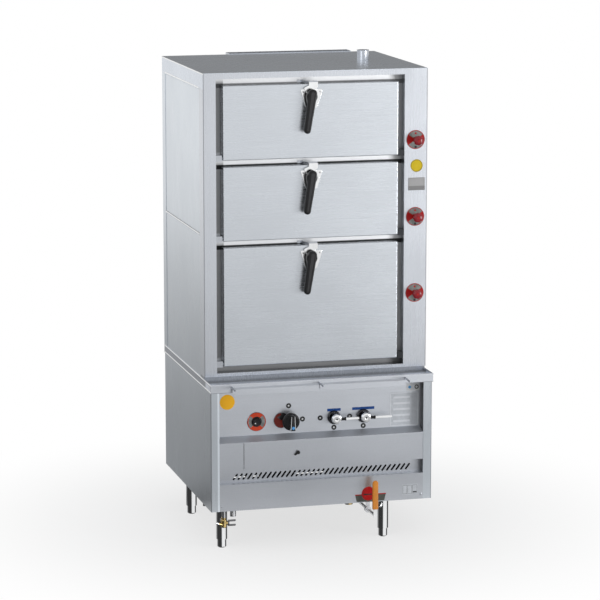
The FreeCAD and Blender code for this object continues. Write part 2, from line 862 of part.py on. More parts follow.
def blank_plates():
    """Plain discs, strips and plates that stand where the front carries its marks."""
    t = label_thickness
    disc_at = -post_inner + disc_inset
    items = [rod_y(disc_radius, disc_at, tray_bottom_z - disc_drop, panel_y - t, panel_y)]
    for x, width in zip(tap_x, strip_widths):
        z = control_z + strip_rise
        strip = box(x - width / 2, x + width / 2, panel_y - t, panel_y,
                    z - strip_height / 2, z + strip_height / 2)
        items.append(strip.cut(rod_y(tap_collar_radius + moving_gap, x, control_z, panel_y - 9, panel_y + 9)))
    for left, right, low, high in (sheet_label,) + small_labels:
        z0, z1 = tray_bottom_z - low, tray_bottom_z - high
        items.append(box(post_inner - left, post_inner - right, panel_y - t, panel_y, z0, z1))
    left, right, low, high = low_label
    items.append(box(post_inner - left, post_inner - right, base_setback - t, base_setback,
                     base_z + low, base_z + high))
    y = upper_setback
    x = valve_x + plate_shift
    pitch = valve_heights[0] - valve_heights[1]
    z = valve_heights[1] + data_plate_share * pitch
    w, h = data_plate_width / 2, data_plate_height / 2
    items.append(box(x - w, x + w, y - t, y, z - h, z + h))
    items.append(rod_y(spot_radius, x, valve_heights[1] + spot_share * pitch, y - t, y))
    for x, z in mark_places():
        ring = rod_y(mark_radius, x, z, panel_y - t, panel_y)
        items.append(ring.cut(rod_y(mark_hole, x, z, panel_y - 9, panel_y + 9)))
    items.append(position_plate())
    return group(items)


def position_plate():
    """Plain plate behind the drain handle: a tapered band with a disc."""
    y0, y1 = base_setback - label_thickness, base_setback
    x0, x1 = drain_x - band_left, drain_x + band_right
    z0, z1 = base_z + band_low, base_z + band_high
    band = plate_along([(x0, z1), (x1, z1), (x1 - band_taper, z0), (x0 + band_taper, z0)], "y", y0, y1)
    disc = rod_y(plate_disc_radius, drain_x - plate_disc_left, base_z + plate_disc_rise, y0, y1)
    return join(band, disc)


# Roof fittings

def roof_vent_pipe():
    """Short steam vent with a rolled rim, held by a flange under the roof."""
    x, y = vent_x, vent_y
    under = roof_z - sheet
    top = roof_z + vent_height
    wall = rod(vent_radius, (x, y, under - vent_flange), (x, y, top))
    rim = rod(vent_radius + 1.5, (x, y, top - vent_rim), (x, y, top))
    rim = rounded(rim, 1.2, lambda edge: isinstance(edge.Curve, Part.Circle))
    flange = rod(vent_radius + vent_flange, (x, y, under - 2), (x, y, under))
    bore = rod(vent_radius - vent_wall, (x, y, under - vent_flange - 1), (x, y, top + 1))
    return join(wall, rim, flange).cut(bore)


def flue_duct():
    """Open-topped flue up the back, fed from the burner chamber."""
    y0, y1 = cabinet_depth, cabinet_depth + flue_depth
    low, top = base_z + flue_bottom, roof_z + flue_rise
    duct = box(flue_left, flue_right, y0, y1, low, top)
    hollow = box(flue_left + sheet, flue_right - sheet, y0 + sheet, y1 - sheet, low + sheet, top + 1)
    return duct.cut(hollow).cut(flue_window())


# Drip tray

def drip_tray():
    """Pan under the upper cabinet with the gutter in front, and the strip and hooks along its fascia."""
    z0, z1 = tray_bottom_z, tray_top_z
    f0, f1 = floor_under_tray, tray_floor_z
    floor = box(-half, half, tray_rim, cabinet_depth, f0, f1)
    cut = box(-half + tray_cut_side * 2, half - tray_cut_side, upper_setback + tray_cut_front,
              cabinet_depth - 2 * tray_cut_side, f0 - 1, f1 + 1)
    slope_end = tray_lip + tray_slope
    outline = [(0, z0), (tray_rim, z0), (tray_rim, f0), (slope_end, f0), (slope_end, f1), (tray_lip, z1),
               (0, z1)]
    front = plate_along(outline, "x", -half, half)
    sides = [side_box(side, half, half - tray_rim, 0, cabinet_depth, z0, z1) for side in (-1, 1)]
    back = box(-half, half, cabinet_depth - tray_rim, cabinet_depth, z0, z1)
    tray = join(floor, front, back, *sides).cut(cut)
    tray = rounded(tray, 1.8, lambda edge: runs_along(edge, "x") and edge.BoundBox.YMax < 0.01)
    return group([tray] + fascia_fittings())


def fascia_fittings():
    """The two halves of the drip strip and the three hooks beside their ends."""
    z0, z1 = tray_bottom_z, tray_top_z
    y0 = -strip_proud
    t = hook_thickness
    reach = half - strip_inset
    places = [strip_shift - reach, strip_shift, strip_shift + reach]
    y1 = y0 + strip_thickness
    profile = [(0, z1 - 14), (0, z1 - 16), (y1, z1 - 22), (y1, z0 - strip_drop), (y0, z0 - strip_drop),
               (y0, z1 - 20)]
    low = z0 + hook_rise
    high = low + hook_height
    hook = [(0, low), (0, high), (-hook_reach, high - hook_drop), (-hook_reach, low - hook_drop)]
    strips = [plate_along(profile, "x", a + t / 2, b - t / 2) for a, b in zip(places, places[1:])]
    hooks = [plate_along(hook, "x", x - t / 2, x + t / 2) for x in places]
    return strips + hooks


# Base

def base_side(side):
    """Side skin of the base with the front post and its turned-in return."""
    top = floor_under_tray
    wall = side_box(side, base_half, base_half - sheet, base_setback, rear_y, base_z, top)
    post = side_box(side, base_half, post_inner, base_setback, base_setback + sheet, base_z, top)
    turn = side_box(side, post_inner + sheet, post_inner, base_setback, panel_y, base_z, top)
    body = join(wall, post, turn)
    return rounded(body, 1.2, lambda e: runs_along(e, "z") and abs(abs(e.BoundBox.XMin) - base_half) < 0.01
                   and e.BoundBox.YMax < base_setback + 0.01)


def base_floor():
    """Bottom pan with air slots, notches round the post returns and the hole of the drain pipe."""
    y0, y1 = base_setback + sheet, rear_y - sheet
    low, high = base_z - 1, base_z + sheet + 1
    plate = box(-base_half + sheet, base_half - sheet, y0, y1, base_z, base_z + sheet)
    for row in (-1, 0, 1):
        for column in (-1, 1):
            x = column * 0.47 * floor_slot_length * 2 - 60.0
            y = cabinet_depth / 2 + row * 110.0
            w, d = floor_slot_length / 2, floor_slot_width / 2
            plate = plate.cut(box(x - w, x + w, y - d, y + d, low, high))
    for side in (-1, 1):
        plate = plate.cut(side_box(side, post_inner + sheet, post_inner, y0 - 1, panel_y, low, high))
    hole = drain_pipe_radius + running_clearance
    return plate.cut(rod(hole, (drain_x, drain_valve_y, low), (drain_x, drain_valve_y, high)))


def control_panel():
    """Recessed panel with its bottom folded forward to a sloping sill, and the holes of the controls."""
    wide = post_inner + sheet
    plate = box(-wide, wide, panel_y, panel_y + sheet, control_bottom_z, floor_under_tray)
    holes = [(igniter_x, igniter_radius + 0.5), (gas_x, spindle_radius + 1)]
    holes += [(x, tap_neck_radius) for x in tap_x]
    for x, radius in holes:
        plate = plate.cut(rod_y(radius, x, control_z, panel_y - 1, panel_y + 9))
    y0, y1 = cover_y, panel_y + sheet
    high = control_bottom_z
    low = high - sill_drop
    outline = [(y0, low), (y1, high), (y1, high + sheet), (panel_y, high + sheet), (y0, low + sheet)]
    return join(plate, plate_along(outline, "x", -post_inner, post_inner))


def front_covers():
    """Small and wide access covers under the sill, and the lower panel with its top flange."""
    y0, y1 = cover_y, strip_y
    low, high = cover_bottom_z, control_bottom_z - sill_drop
    outline = [(y0, low), (y1, low), (y1, low + sheet), (y0 + sheet, low + sheet), (y0 + sheet, high),
               (y0, high)]
    seam = -post_inner + cover_seam_inset
    small = plate_along(outline, "x", -post_inner, seam - cover_seam / 2)
    wide = plate_along(outline, "x", seam + cover_seam / 2, post_inner)
    wide = wide.cut(rod_y(catch_stem_radius + running_clearance, catch_x, catch_z, y0 - 1, y0 + 9))
    y0, low, high = base_setback, base_z, lower_panel_top_z
    outline = [(y0, low), (y0 + sheet, low), (y0 + sheet, high - sheet), (y1, high - sheet), (y1, high),
               (y0, high)]
    return group([small, wide, plate_along(outline, "x", -post_inner, post_inner)])


def vent_strip():
    """Set-back strip with a row of leaning air slots."""
    low, high = lower_panel_top_z, cover_bottom_z
    plate = box(-post_inner, post_inner, strip_y, strip_y + sheet,
                low - vent_strip_lap, high + vent_strip_lap)
    first, last = -post_inner + slot_left_inset, post_inner - slot_right_inset
    count = round((last - first) / slot_pitch)
    r = slot_width / 2
    up = slot_length / 2 - r
    z = low + slot_rise
    slots = []
    for number in range(count + 1):
        x = first + (last - first) * number / count
        slots.append(stadium_y(x - slot_lean / 2, z - up, r, x + slot_lean / 2, z + up, r,
                               strip_y - 1, strip_y + 3))
    return plate.cut(group(slots))


def water_tank():
    """Boiling tank on four angle legs, with the steam take-off on its right."""
    t = tank_sheet
    x0, x1, y0, y1 = tank_left, tank_right, tank_front_y, tank_back_y
    z0, z1 = tank_bottom_z, tank_top_z
    shell = box(x0, x1, y0, y1, z0, z1).cut(box(x0 + t, x1 - t, y0 + t, y1 - t, z0 + t, z1 - t))
    steam_z = steam_take_off_z
    shell = shell.cut(rod(riser_radius, (x1 - 9, riser_y, steam_z), (x1 + 9, riser_y, steam_z)))
    drain_y = drain_valve_y
    shell = shell.cut(rod(drain_pipe_radius, (drain_x, drain_y, z0 - 9), (drain_x, drain_y, z0 + 9)))
    low = base_z + sheet
    legs = []
    for x, side_x in ((x0, 1), (x1, -1)):
        for y, side_y in ((y0, 1), (y1, -1)):
            leg_x = sorted((x, x + side_x * tank_leg))
            leg_y = sorted((y, y + side_y * tank_leg))
            thin_x = sorted((x, x + side_x * t))
            thin_y = sorted((y, y + side_y * t))
            legs.append(join(box(*leg_x, *thin_y, low, z0), box(*thin_x, *leg_y, low, z0)))
    return join(shell, *legs)


def cock_pipe():
    """The gas pipe that climbs from the manifold to the cock."""
    top = control_z - cock_radius + 2
    return rod(gas_pipe_radius, (gas_x, manifold_y, burner_z), (gas_x, manifold_y, top))


def gas_burners():
    """Three burner bars on a manifold, with the gas pipe from the inlet and the pipe of the cock."""
    y0, y1 = burner_y, burner_y + burner_length
    z = burner_z
    r = burner_radius
    low = base_z + sheet
    places = [(burner_first_share + step * burner_spacing_share) * post_inner for step in range(3)]
    pieces = []
    for x in places:
        bar = rod_y(r, x, z, y0, y1).cut(rod_y(r - 4, x, z, y0 + 8, y1 - 8))
        bar = bar.cut(box(x - 4, x + 4, y0 + 30, y1 - 30, z, z + r + 1))
        feet = [box(x - 12, x + 12, y, y + 6, low, z - r + 2) for y in (y0 + 20, y1 - 26)]
        pieces.append(join(bar, *feet, rod_y(manifold_radius, x, z, manifold_y, y0 + 3)))
    feed_x = gas_inlet_x
    turn_y = burner_y + 30
    pieces.append(rod(manifold_radius, (feed_x, manifold_y, z), (places[-1] + 30, manifold_y, z)))
    pieces.append(cock_pipe())
    corners = [(feed_x, manifold_y, z), (feed_x, turn_y, inlet_z)]
    run_radius = inlet_radius - inlet_step
    pieces.append(rod(run_radius, corners[0], corners[1]))
    pieces += [Part.makeSphere(run_radius, V(*corner)) for corner in corners]
    pieces.append(inlet_end(feed_x, inlet_radius, inlet_wall, turn_y))
    return join(*pieces)


def valve_bodies():
    """Gas cock, igniter, tap and steam valve bodies behind the front."""
    y = panel_y + sheet
    cock = rod_y(cock_radius, gas_x, control_z, y, y + cock_length)
    cock = cock.cut(rod_y(spindle_radius + running_clearance, gas_x, control_z, y - 1, y + cock_length / 2))
    cock = cock.cut(cock_pipe())
    guide = rod_y(igniter_radius + 3, igniter_x, control_z, y, y + igniter_guide + 6)
    bore = igniter_radius + running_clearance
    guide = guide.cut(rod_y(bore, igniter_x, control_z, y - 1, y + igniter_guide))
    bodies = [cock, guide]
    for x in tap_x:
        collar = rod_y(tap_collar_radius, x, control_z, panel_y - tap_collar_depth, panel_y)
        collar = round_front(collar, 5.0, panel_y - tap_collar_depth)
        front = tap_disc_y + tap_disc_depth + moving_gap
        neck = rod_y(tap_neck_radius, x, control_z, front, y + tap_neck_depth)
        bore = rod_y(spindle_radius + running_clearance, x, control_z, 0, y + tap_neck_depth / 2)
        bodies.append(join(collar, neck).cut(bore))
    return group(bodies + [steam_valve_body(height) for height in valve_heights])


def gas_knob():
    """Knob with a ridge grip, and a hub behind it, on its spindle."""
    x, z, r = gas_x, control_z, knob_radius
    front = panel_y - knob_proud
    mid = front + knob_grip_depth
    skirt = rod_y(r, x, z, mid, mid + knob_skirt)
    skirt = round_front(skirt, 4.0, mid)
    w = knob_grip_width / 2
    grip = box(x - w, x + w, front, mid + 2, z - r + 1, z + r - 1)
    grip = rounded(grip, 5.0, lambda e: runs_along(e, "x") and e.BoundBox.YMax < front + 0.01)
    grip = rounded(grip, 1.5, lambda e: runs_along(e, "z") and e.BoundBox.YMax < front + 0.01)
    hub = rod_y(knob_hub_radius, x, z, mid + 2, panel_y - knob_hub_gap)
    spindle = rod_y(spindle_radius, x, z, mid + 2, panel_y + sheet + cock_length / 2 - 3)
    return join(skirt, grip, hub, spindle)


def igniter_button():
    """Push button that slides in the igniter body."""
    front = panel_y - bezel_thickness - igniter_proud
    back = panel_y + sheet + igniter_guide - igniter_travel - 2
    button = rod_y(igniter_radius, igniter_x, control_z, front, back)
    return round_front(button, 3.0, front)


def tap_lever(index):
    """Disc hub, sleeve and flat lever of a water tap."""
    x, z = tap_x[index], control_z
    y0, y1 = tap_disc_y, tap_disc_y + tap_disc_depth
    disc = round_front(rod_y(tap_disc_radius, x, z, y0, y1), 3.0, y0)
    w = tap_sleeve_width / 2
    start = x + tap_disc_radius - 3
    end = start + tap_sleeve_length
    sleeve = box(start, end, y0 + 1, y1 - 1, z - w, z + w)
    sleeve = rounded(sleeve, 2.5, lambda e: runs_along(e, "x"))
    mid = (y0 + y1) / 2
    t, h = tap_lever_thickness / 2, tap_lever_width / 2
    bar = box(end - 2, tap_lever_ends[index], mid - t, mid + t, z - h, z + h)
    spindle = rod_y(spindle_radius, x, z, y1 - 1, panel_y + sheet + tap_neck_depth / 2 - 2)
    return join(disc, sleeve, bar, spindle)


def panel_catch():
    """Quarter-turn catch of the wide access cover."""
    x, z = catch_x, catch_z
    head = rod_y(catch_radius, x, z, cover_y - 8, cover_y - moving_gap)
    r = catch_width / 2
    arm = stadium_y(x, z, r, x - 0.8 * catch_length, z - 0.6 * catch_length, r - 1, cover_y - 7, cover_y - 3)
    stem = rod_y(catch_stem_radius, x, z, cover_y - 1, cover_y + 16)
    return join(head, arm, stem)


# Underside

def drain_valve():
    """Ball valve body under the tank, its pipes, and the bush that carries the long rod."""
    x, y, z = drain_x, drain_valve_y, drain_z
    low = z - drain_outlet_drop
    start = y - drain_valve_length / 2
    body = rod_y(drain_valve_radius, x, z, start, y + drain_valve_length / 2)
    down = rod(drain_pipe_radius, (x, y, low), (x, y, tank_bottom_z + tank_sheet))
    bore = rod(drain_pipe_radius - drain_pipe_wall, (x, y, low - 1), (x, y, z - drain_valve_radius - 4))
    socket = rod_y(drain_rod_radius + running_clearance, x, z, start - 1, start + 18)
    bush = rod_y(bush_radius, x, z, bush_y, bush_y + bush_length)
    hanger = box(x - 8, x + 8, bush_y + 4, bush_y + 8, z + bush_radius - 2, base_z)
    passage = rod_y(drain_rod_radius + running_clearance, x, z, bush_y - 1, bush_y + bush_length + 1)
    return [join(body, down).cut(bore).cut(socket), join(bush, hanger).cut(passage)]


def drain_rod():
    """Long rod of the drain valve with the flat bar of its handle."""
    x, z = drain_x, drain_z
    back = -drain_reach + (drain_sleeve_thickness + drain_bar_thickness) / 2
    front = back - drain_bar_thickness
    shaft = rod_y(drain_rod_radius, x, z, front, drain_valve_y - drain_valve_length / 2 + 16)
    w = drain_bar_width / 2
    bar = box(x - w, x + w, front, back, z - w, z + drain_handle_length - drain_sleeve_length + 24)
    return join(shaft, bar)


def drain_grip():
    """Soft sleeve on the handle of the drain valve."""
    x = drain_x
    top = drain_z + drain_handle_length
    low = top - drain_sleeve_length
    r = drain_handle_width / 2
    y0, y1 = -drain_reach, -drain_reach + drain_sleeve_thickness
    sleeve = stadium_y(x, low + r, r, x, top - r, r, y0, y1)
    sleeve = join(sleeve, box(x - r, x + r, y0, y1, low, low + r))
    return round_front(sleeve, 2.5, y0).cut(drain_rod())


def drain_cock():
    """Small cock at the front left, with its pipe, body and spout."""
    x, y = cock_x, cock_y
    feed = rod(cock_pipe_radius, (x, y, cock_top_z - 4), (x, y, base_z))
    body = rod(cock_body_radius, (x, y, cock_low_z), (x, y, cock_top_z))
    body = rounded(body, 3.0, lambda e: isinstance(e.Curve, Part.Circle))
    spout = rod(5.0, (x, y, cock_low_z + 8), (x - 32, y - 6, cock_low_z + 20))
    boss = rod(cock_hub_radius, (x, y, cock_stem_z), (x + cock_body_radius + 3, y, cock_stem_z))
    socket = rod(cock_stem_radius + running_clearance, (x + 2, y, cock_stem_z), (x + 20, y, cock_stem_z))
    return join(body, feed, spout, boss).cut(socket)


def water_supply():
    """Water pipe from the rear inlet up into the tank, with the nut on the rear skin."""
    x, r = water_inlet_x, water_radius - inlet_step
    turn_y = tank_back_y + 16
    high = tank_bottom_z + 60
    rise = rod(r, (x, turn_y, inlet_z), (x, turn_y, high))
    into = rod_y(r, x, high, tank_back_y, turn_y)
    knees = [Part.makeSphere(r, V(x, turn_y, z)) for z in (inlet_z, high)]
    return join(inlet_end(x, water_radius, water_wall, turn_y), rise, into, *knees)


def under_fittings():
    """Drain valve with its bush, drain cock, plain stubs and water supply pipe."""
    stub = pipe(stub_radius, stub_radius - 2, (stub_x, stub_y, base_z - stub_drop), (stub_x, stub_y, base_z))
    x, y = side_stub_x, side_stub_y
    small = rod(side_stub_radius, (x, y, base_z - side_stub_drop), (x, y, base_z))
    return group(drain_valve() + [drain_cock(), stub, small, water_supply()])


def cock_handle():
    """Two-winged handle of the drain cock."""
    x0 = cock_x + cock_body_radius + 3 + moving_gap
    y, z, r = cock_y, cock_stem_z, wing_radius
    bar_x = x0 + 4
    hub = rod(cock_hub_radius, (x0, y, z), (x0 + 6, y, z))
    stem = rod(cock_stem_radius, (cock_x + 4, y, z), (x0 + 3, y, z))
    bridge = rod(r, (bar_x, y, z - wing_offset), (bar_x, y, z + wing_offset))
    pieces = [hub, stem, bridge]
    for side in (-1, 1):
        start = (bar_x, y, z + side * wing_offset)
        end = (x0 + wing_reach, y, z + side * wing_offset)
        pieces.append(rod(r, start, end))
        pieces += [Part.makeSphere(r, V(*point)) for point in (start, end)]
    return join(*pieces)


# Legs and feet

def leg_places():
    """Leg axes, from the front left round to the rear right."""
    return {
        "front_left": (leg_left_x, leg_front_y),
        "front_right": (leg_right_x, leg_front_y),
        "rear_left": (leg_left_x, leg_rear_y),
        "rear_right": (leg_right_x, leg_rear_y),
    }


def leg_tubes():
    """Four round legs with the flanges that bolt them under the base."""
    legs = []
    for x, y in leg_places().values():
        tube = rod(leg_radius, (x, y, foot_height), (x, y, base_z))
        bore = rod(leg_radius - leg_wall, (x, y, foot_height - 1), (x, y, foot_guide_top + moving_gap))
        flange = rod(leg_flange_radius, (x, y, base_z - leg_flange_thickness), (x, y, base_z))
        legs.append(join(tube.cut(bore), flange))
    return group(legs)


def adjusting_foot(name):
    """Foot with a bevelled toe and the guide that slides in its leg."""
    x, y = leg_places()[name]
    toe = rod(foot_radius, (x, y, 0), (x, y, foot_top_z + 1))
    toe = toe.makeChamfer(foot_chamfer, [e for e in toe.Edges if e.BoundBox.ZMax < 0.01])
    guide = rod(leg_radius - leg_wall - running_clearance, (x, y, foot_top_z), (x, y, foot_guide_top))
    return join(toe, guide)


def panel_screws():
    """Domed screws that hold the lower panel and the rear skins."""
    front_x = post_inner - 2 * screw_radius
    places = [(x, base_setback, base_z + 20, -1) for x in (-front_x, front_x)]
    for x in (-half + 30, half - 30):
        places += [(x, cabinet_depth, z, 1) for z in (tray_top_z + 40, seam_z, roof_z - 40)]
    for x in (-base_half + 40, base_half - 40):
        places += [(x, rear_y, z, 1) for z in (base_z + 40, tray_bottom_z - 40)]
    screws = []
    for x, y, z, out in places:
        tip = y + out * screw_height
        head = rod(screw_radius, (x, y, z), (x, tip, z))
        screws.append(round_front(head, 1.5, tip))
    return group(screws)


def all_nodes():
    """Every named piece of the steamer."""
    nodes = {
        "face_frame": face_frame(),
        "sealing_frame": sealing_frame(),
        "upper_side_left": side_panels(-1),
        "upper_side_right": side_panels(1),
        "rear_skins": rear_skins(),
        "roof_panel": roof_panel(),
        "deck_racks": deck_racks(),
        "insulation": insulation(),
        "door_hardware": door_hardware(),
        "steam_pipes": steam_pipes(),
        "dial_plates": dial_plates(),
        "blank_plates": blank_plates(),
        "roof_vent_pipe": roof_vent_pipe(),
        "flue_duct": flue_duct(),
        "drip_tray": drip_tray(),
        "base_side_left": base_side(-1),
        "base_side_right": base_side(1),
        "base_floor": base_floor(),
        "control_panel": control_panel(),
        "front_covers": front_covers(),
        "vent_strip": vent_strip(),
        "water_tank": water_tank(),
        "gas_burners": gas_burners(),
        "valve_bodies": valve_bodies(),
        "gas_knob": gas_knob(),
        "igniter_button": igniter_button(),
        "tap_lever_left": tap_lever(0),
        "tap_lever_right": tap_lever(1),
        "panel_catch": panel_catch(),
        "under_fittings": under_fittings(),
        "drain_rod": drain_rod(),
        "drain_grip": drain_grip(),
        "cock_handle": cock_handle(),
        "leg_tubes": leg_tubes(),
        "panel_screws": panel_screws(),
    }
    for index, name in enumerate(names):
        nodes["deck_liner_" + name] = deck_liner(index)
        nodes["door_" + name] = door_shell(index)
        nodes["gasket_" + name] = door_gasket(index)
        nodes["latch_plate_" + name] = latch_plate(index)
        nodes["latch_tongue_" + name] = latch_tongue(index)
        nodes["latch_lever_" + name] = latch_lever(index)
        nodes["steam_knob_" + name] = steam_knob(index)
    for name in leg_places():
        nodes["foot_" + name] = adjusting_foot(name)
    return nodes


def move_to_origin(shape):
    """Sets a shape on the object's own frame, with the origin under the middle of its envelope."""
    moved = shape.copy()
    moved.translate(V(0, -(y_front + y_rear) / 2, 0))
    return moved


def main():
    """Writes one file per named piece."""
    os.makedirs("parts", exist_ok=True)
    for name, shape in all_nodes().items():
        move_to_origin(shape).exportStep("parts/" + name + ".step")


if __name__ == "__main__":
    main()
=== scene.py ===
"""Triple deck steamer: finishes and detailed fittings built round the fixed cabinet."""

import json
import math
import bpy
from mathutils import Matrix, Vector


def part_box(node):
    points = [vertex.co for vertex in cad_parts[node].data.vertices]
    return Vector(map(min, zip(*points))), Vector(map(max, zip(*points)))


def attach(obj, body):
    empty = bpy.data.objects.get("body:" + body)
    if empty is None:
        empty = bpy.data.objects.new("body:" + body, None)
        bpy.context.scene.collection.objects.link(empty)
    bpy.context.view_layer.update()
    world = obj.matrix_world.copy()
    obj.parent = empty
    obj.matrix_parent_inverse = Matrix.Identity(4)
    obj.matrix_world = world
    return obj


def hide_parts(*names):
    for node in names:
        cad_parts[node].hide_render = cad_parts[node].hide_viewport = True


bl_info = {
    "name": "Triple Deck Steamer",
    "version": (1, 0, 0),
    "blender": (4, 5, 0),
    "location": "3D View > Sidebar > Steamer",
    "description": "Sheet metal finishes, latches, knobs, taps and plates of a triple deck steamer",
    "category": "Object",
}

import bmesh
import bpy
from bpy.props import FloatProperty, FloatVectorProperty, IntProperty, PointerProperty
from mathutils import Matrix, Vector

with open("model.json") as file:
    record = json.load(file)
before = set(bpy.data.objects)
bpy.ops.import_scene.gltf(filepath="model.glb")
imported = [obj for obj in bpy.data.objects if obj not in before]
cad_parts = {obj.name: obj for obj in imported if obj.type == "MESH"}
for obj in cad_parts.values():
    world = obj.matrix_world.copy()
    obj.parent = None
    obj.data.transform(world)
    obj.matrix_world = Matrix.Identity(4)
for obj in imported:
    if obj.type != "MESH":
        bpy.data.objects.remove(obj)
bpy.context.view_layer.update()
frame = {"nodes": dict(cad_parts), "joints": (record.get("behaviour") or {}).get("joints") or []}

DECKS = ("top", "middle", "bottom")
JOINTS = {joint["name"]: joint for joint in frame["joints"]}


def axis_of(joint):
    """Place of a joint, in metres."""
    return Vector(JOINTS[joint]["pos_m"])


# Planes of the frame, in metres
STILE_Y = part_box("face_frame")[0].y
PANEL_Y = axis_of("gas_turn").y
BASE_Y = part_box("base_side_left")[0].y
BASE_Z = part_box("base_side_left")[0].z
TRAY_Y = BASE_Y - 0.009
TRAY_HEIGHT = 0.034

# Finishes: how far the painted shade of a fold reaches, the thinnest soft edge of a zone, the sharpest corner
# that is inset fully
FOLD_REACH = 0.004
THINNEST_EDGE = 0.0005
SHARPEST_MITRE = 0.35

# Seams across the sides
SEAM_SETBACK, SEAM_LENGTH = 0.071, 0.62
SEAM_LEVELS = (1.229, 1.799)

# Latch levers; the edge gives how far each ring is drawn in and how far it stands behind the front
LEVER_LEAN = math.radians(8.5)
LEVER_THICKNESS, LEVER_FOOT = 0.020, 0.013
LEVER_EDGE = ((0.0022, 0.020), (0.0, 0.018), (0.0, 0.0062), (0.0016, 0.0026), (0.0032, 0.0008), (0.0052, 0.0))
NECK_REACH, NECK_RADII = (0.012, 0.042), (0.022, 0.013)
SCREW_RADIUS, SCREW_RISE = 0.0042, 0.00024

# Gas knob and tap levers
GRIP_DEPTH, GRIP_HALF_WIDTH, SKIRT_DEPTH = 0.030, 0.0088, 0.016
SLEEVE_LENGTH = 0.022

# Drain grip: heights over its lower end, and the share of its full width there
DRAIN_GRIP = ((0.0, 0.88), (0.0012, 0.97), (0.004, 1.0), (0.03, 0.985), (0.062, 0.97), (0.09, 0.99))

# Marks and strips round the controls
MARK_REACH, MARK_DROP = 0.056, 0.041
STRIP_RISE, STRIP_HALF_WIDTHS = 0.029, (0.0275, 0.0455)

# Plain plates and films; a box is x0, x1, z0, z1
SPOT_SHARE = 0.661
DISC_PLACE = (-0.371, 0.581)
FILM_SHEET, FILM_LINE = (0.290, 0.408, 0.446, 0.582), (0.291, 0.407, 0.447, 0.581)
FILM_BARS = (0.462, 0.486, 0.510, 0.534, 0.558)
SMALL_FILMS = ((0.358, 0.384, 0.586, 0.616), (0.388, 0.411, 0.586, 0.616))
FILM_DOT, FILM_RING = (0.371, 0.601), (0.3995, 0.601)
LOW_FILM, LOW_FILM_BAR = (0.328, 0.392, 0.176, 0.218), (0.3725, 0.3875, 0.1835, 0.1885)
LOW_FILM_FRAMES = ((0.3305, 0.3475), (0.3505, 0.3675), (0.3705, 0.3895))


# Sizes and colours that a user may change

def colour(name, description, default):
    """A colour property with its default."""
    return FloatVectorProperty(name=name, description=description, default=default, size=3,
                               subtype="COLOR", min=0.0, max=1.0)


def length(name, description, default):
    """A length property given in metres."""
    return FloatProperty(name=name, description=description, default=default, unit="LENGTH", precision=4,
                         min=0.0)


class SteamerFinishes(bpy.types.PropertyGroup):
    """Colours and roughness of the finishes"""
    sheet: colour("Sheet", "Brushed sheet of the cabinet", (0.595, 0.62, 0.665))
    side: colour("Side sheet", "Sides and rear", (0.64, 0.685, 0.75))
    roof: colour("Roof sheet", "Roof panel", (0.62, 0.665, 0.74))
    door: colour("Doors", "Brushed sheet of the doors", (0.58, 0.61, 0.65))
    liner: colour("Liners", "Dull sheet of the decks", (0.46, 0.47, 0.48))
    bright: colour("Bright metal", "Polished latches, taps and legs", (0.86, 0.87, 0.88))
    red: colour("Knob red", "Steam knobs", (0.25, 0.006, 0.014))
    ring_red: colour("Plate red", "Printed red of the round plates", (0.42, 0.011, 0.012))
    black: colour("Grip black", "Moulded grips and knobs", (0.012, 0.012, 0.013))
    orange: colour("Sleeve orange", "Soft sleeve of the drain handle", (0.62, 0.22, 0.02))
    disc_orange: colour("Disc orange", "Plain round disc on the panel", (1.0, 0.5, 0.02))
    blue: colour("Strip blue", "Plain strips above the taps", (0.012, 0.06, 0.24))
    yellow: colour("Spot yellow", "Plain round spot on the stile", (0.68, 0.50, 0.015))
    brass: colour("Brass", "Cock and valve bodies", (0.62, 0.47, 0.2))
    sheet_roughness: FloatProperty(name="Sheet roughness", description="Roughness of the brushed sheet",
                                   default=0.27, min=0.05, max=1.0)
    grain: FloatProperty(name="Grain", description="Depth of the brushed grain", default=0.06, min=0.0,
                         max=1.0)


class SteamerControls(bpy.types.PropertyGroup):
    """Sizes of the small moulded and turned pieces"""
    lever_border: length("Lever border", "Width of the bevelled border of a latch lever", 0.0058)
    lever_recess: length("Lever recess", "Depth of the face inside the border", 0.0011)
    knob_flutes: IntProperty(name="Knob flutes", description="Finger hollows round a steam knob", default=7,
                             min=3)
    knob_flute_depth: length("Flute depth", "Depth of the finger hollows", 0.0016)
    bead_height: length("Bead height", "Height of the beads and seams along the sides", 0.006)
    bead_proud: length("Bead rise", "How far the rolled beads stand out", 0.0015)
    ring_width: length("Ring width", "Width of the printed outer ring of a dial", 0.0035)
    print_height: length("Print height", "How far printing stands proud of its plate", 0.00012)
    rivet_radius: length("Rivet radius", "Rivets of the data plate", 0.0016)
    grip_dot: length("Grip dot", "Radius of the dot on the gas knob", 0.006)
    grip_taper: FloatProperty(name="Grip taper", default=0.2, min=0.0, max=0.8,
                              description="How much the grip of the gas knob narrows upwards")
    gas_plate_shift: length("Gas plate shift", "From the gas knob's axis to the round plate beside it", 0.030)


class SteamerStage(bpy.types.PropertyGroup):
    """Camera and light"""
    lens: FloatProperty(name="Lens", description="Focal length in millimetres", default=167.77, min=10.0)
    azimuth: FloatProperty(name="Azimuth", description="Camera turn round the cabinet",
                           default=math.radians(-14.83), subtype="ANGLE")
    elevation: FloatProperty(name="Elevation", description="Camera height over the horizon",
                             default=math.radians(10.31), subtype="ANGLE")
    place: FloatVectorProperty(name="Place", description="Camera place", size=3, subtype="TRANSLATION",
                               default=(-2.81977, -10.72069, 2.92056))
    key_power: FloatProperty(name="Key light", description="Power of the soft light at the right",
                             default=200.0, unit="POWER", min=0.0)
    fill_power: FloatProperty(name="Fill light", description="Power of the soft light at the left",
                              default=30.0, unit="POWER", min=0.0)
    ambient: FloatProperty(name="Ambient", description="Even light from all round", default=0.42, min=0.0)


# Node trees

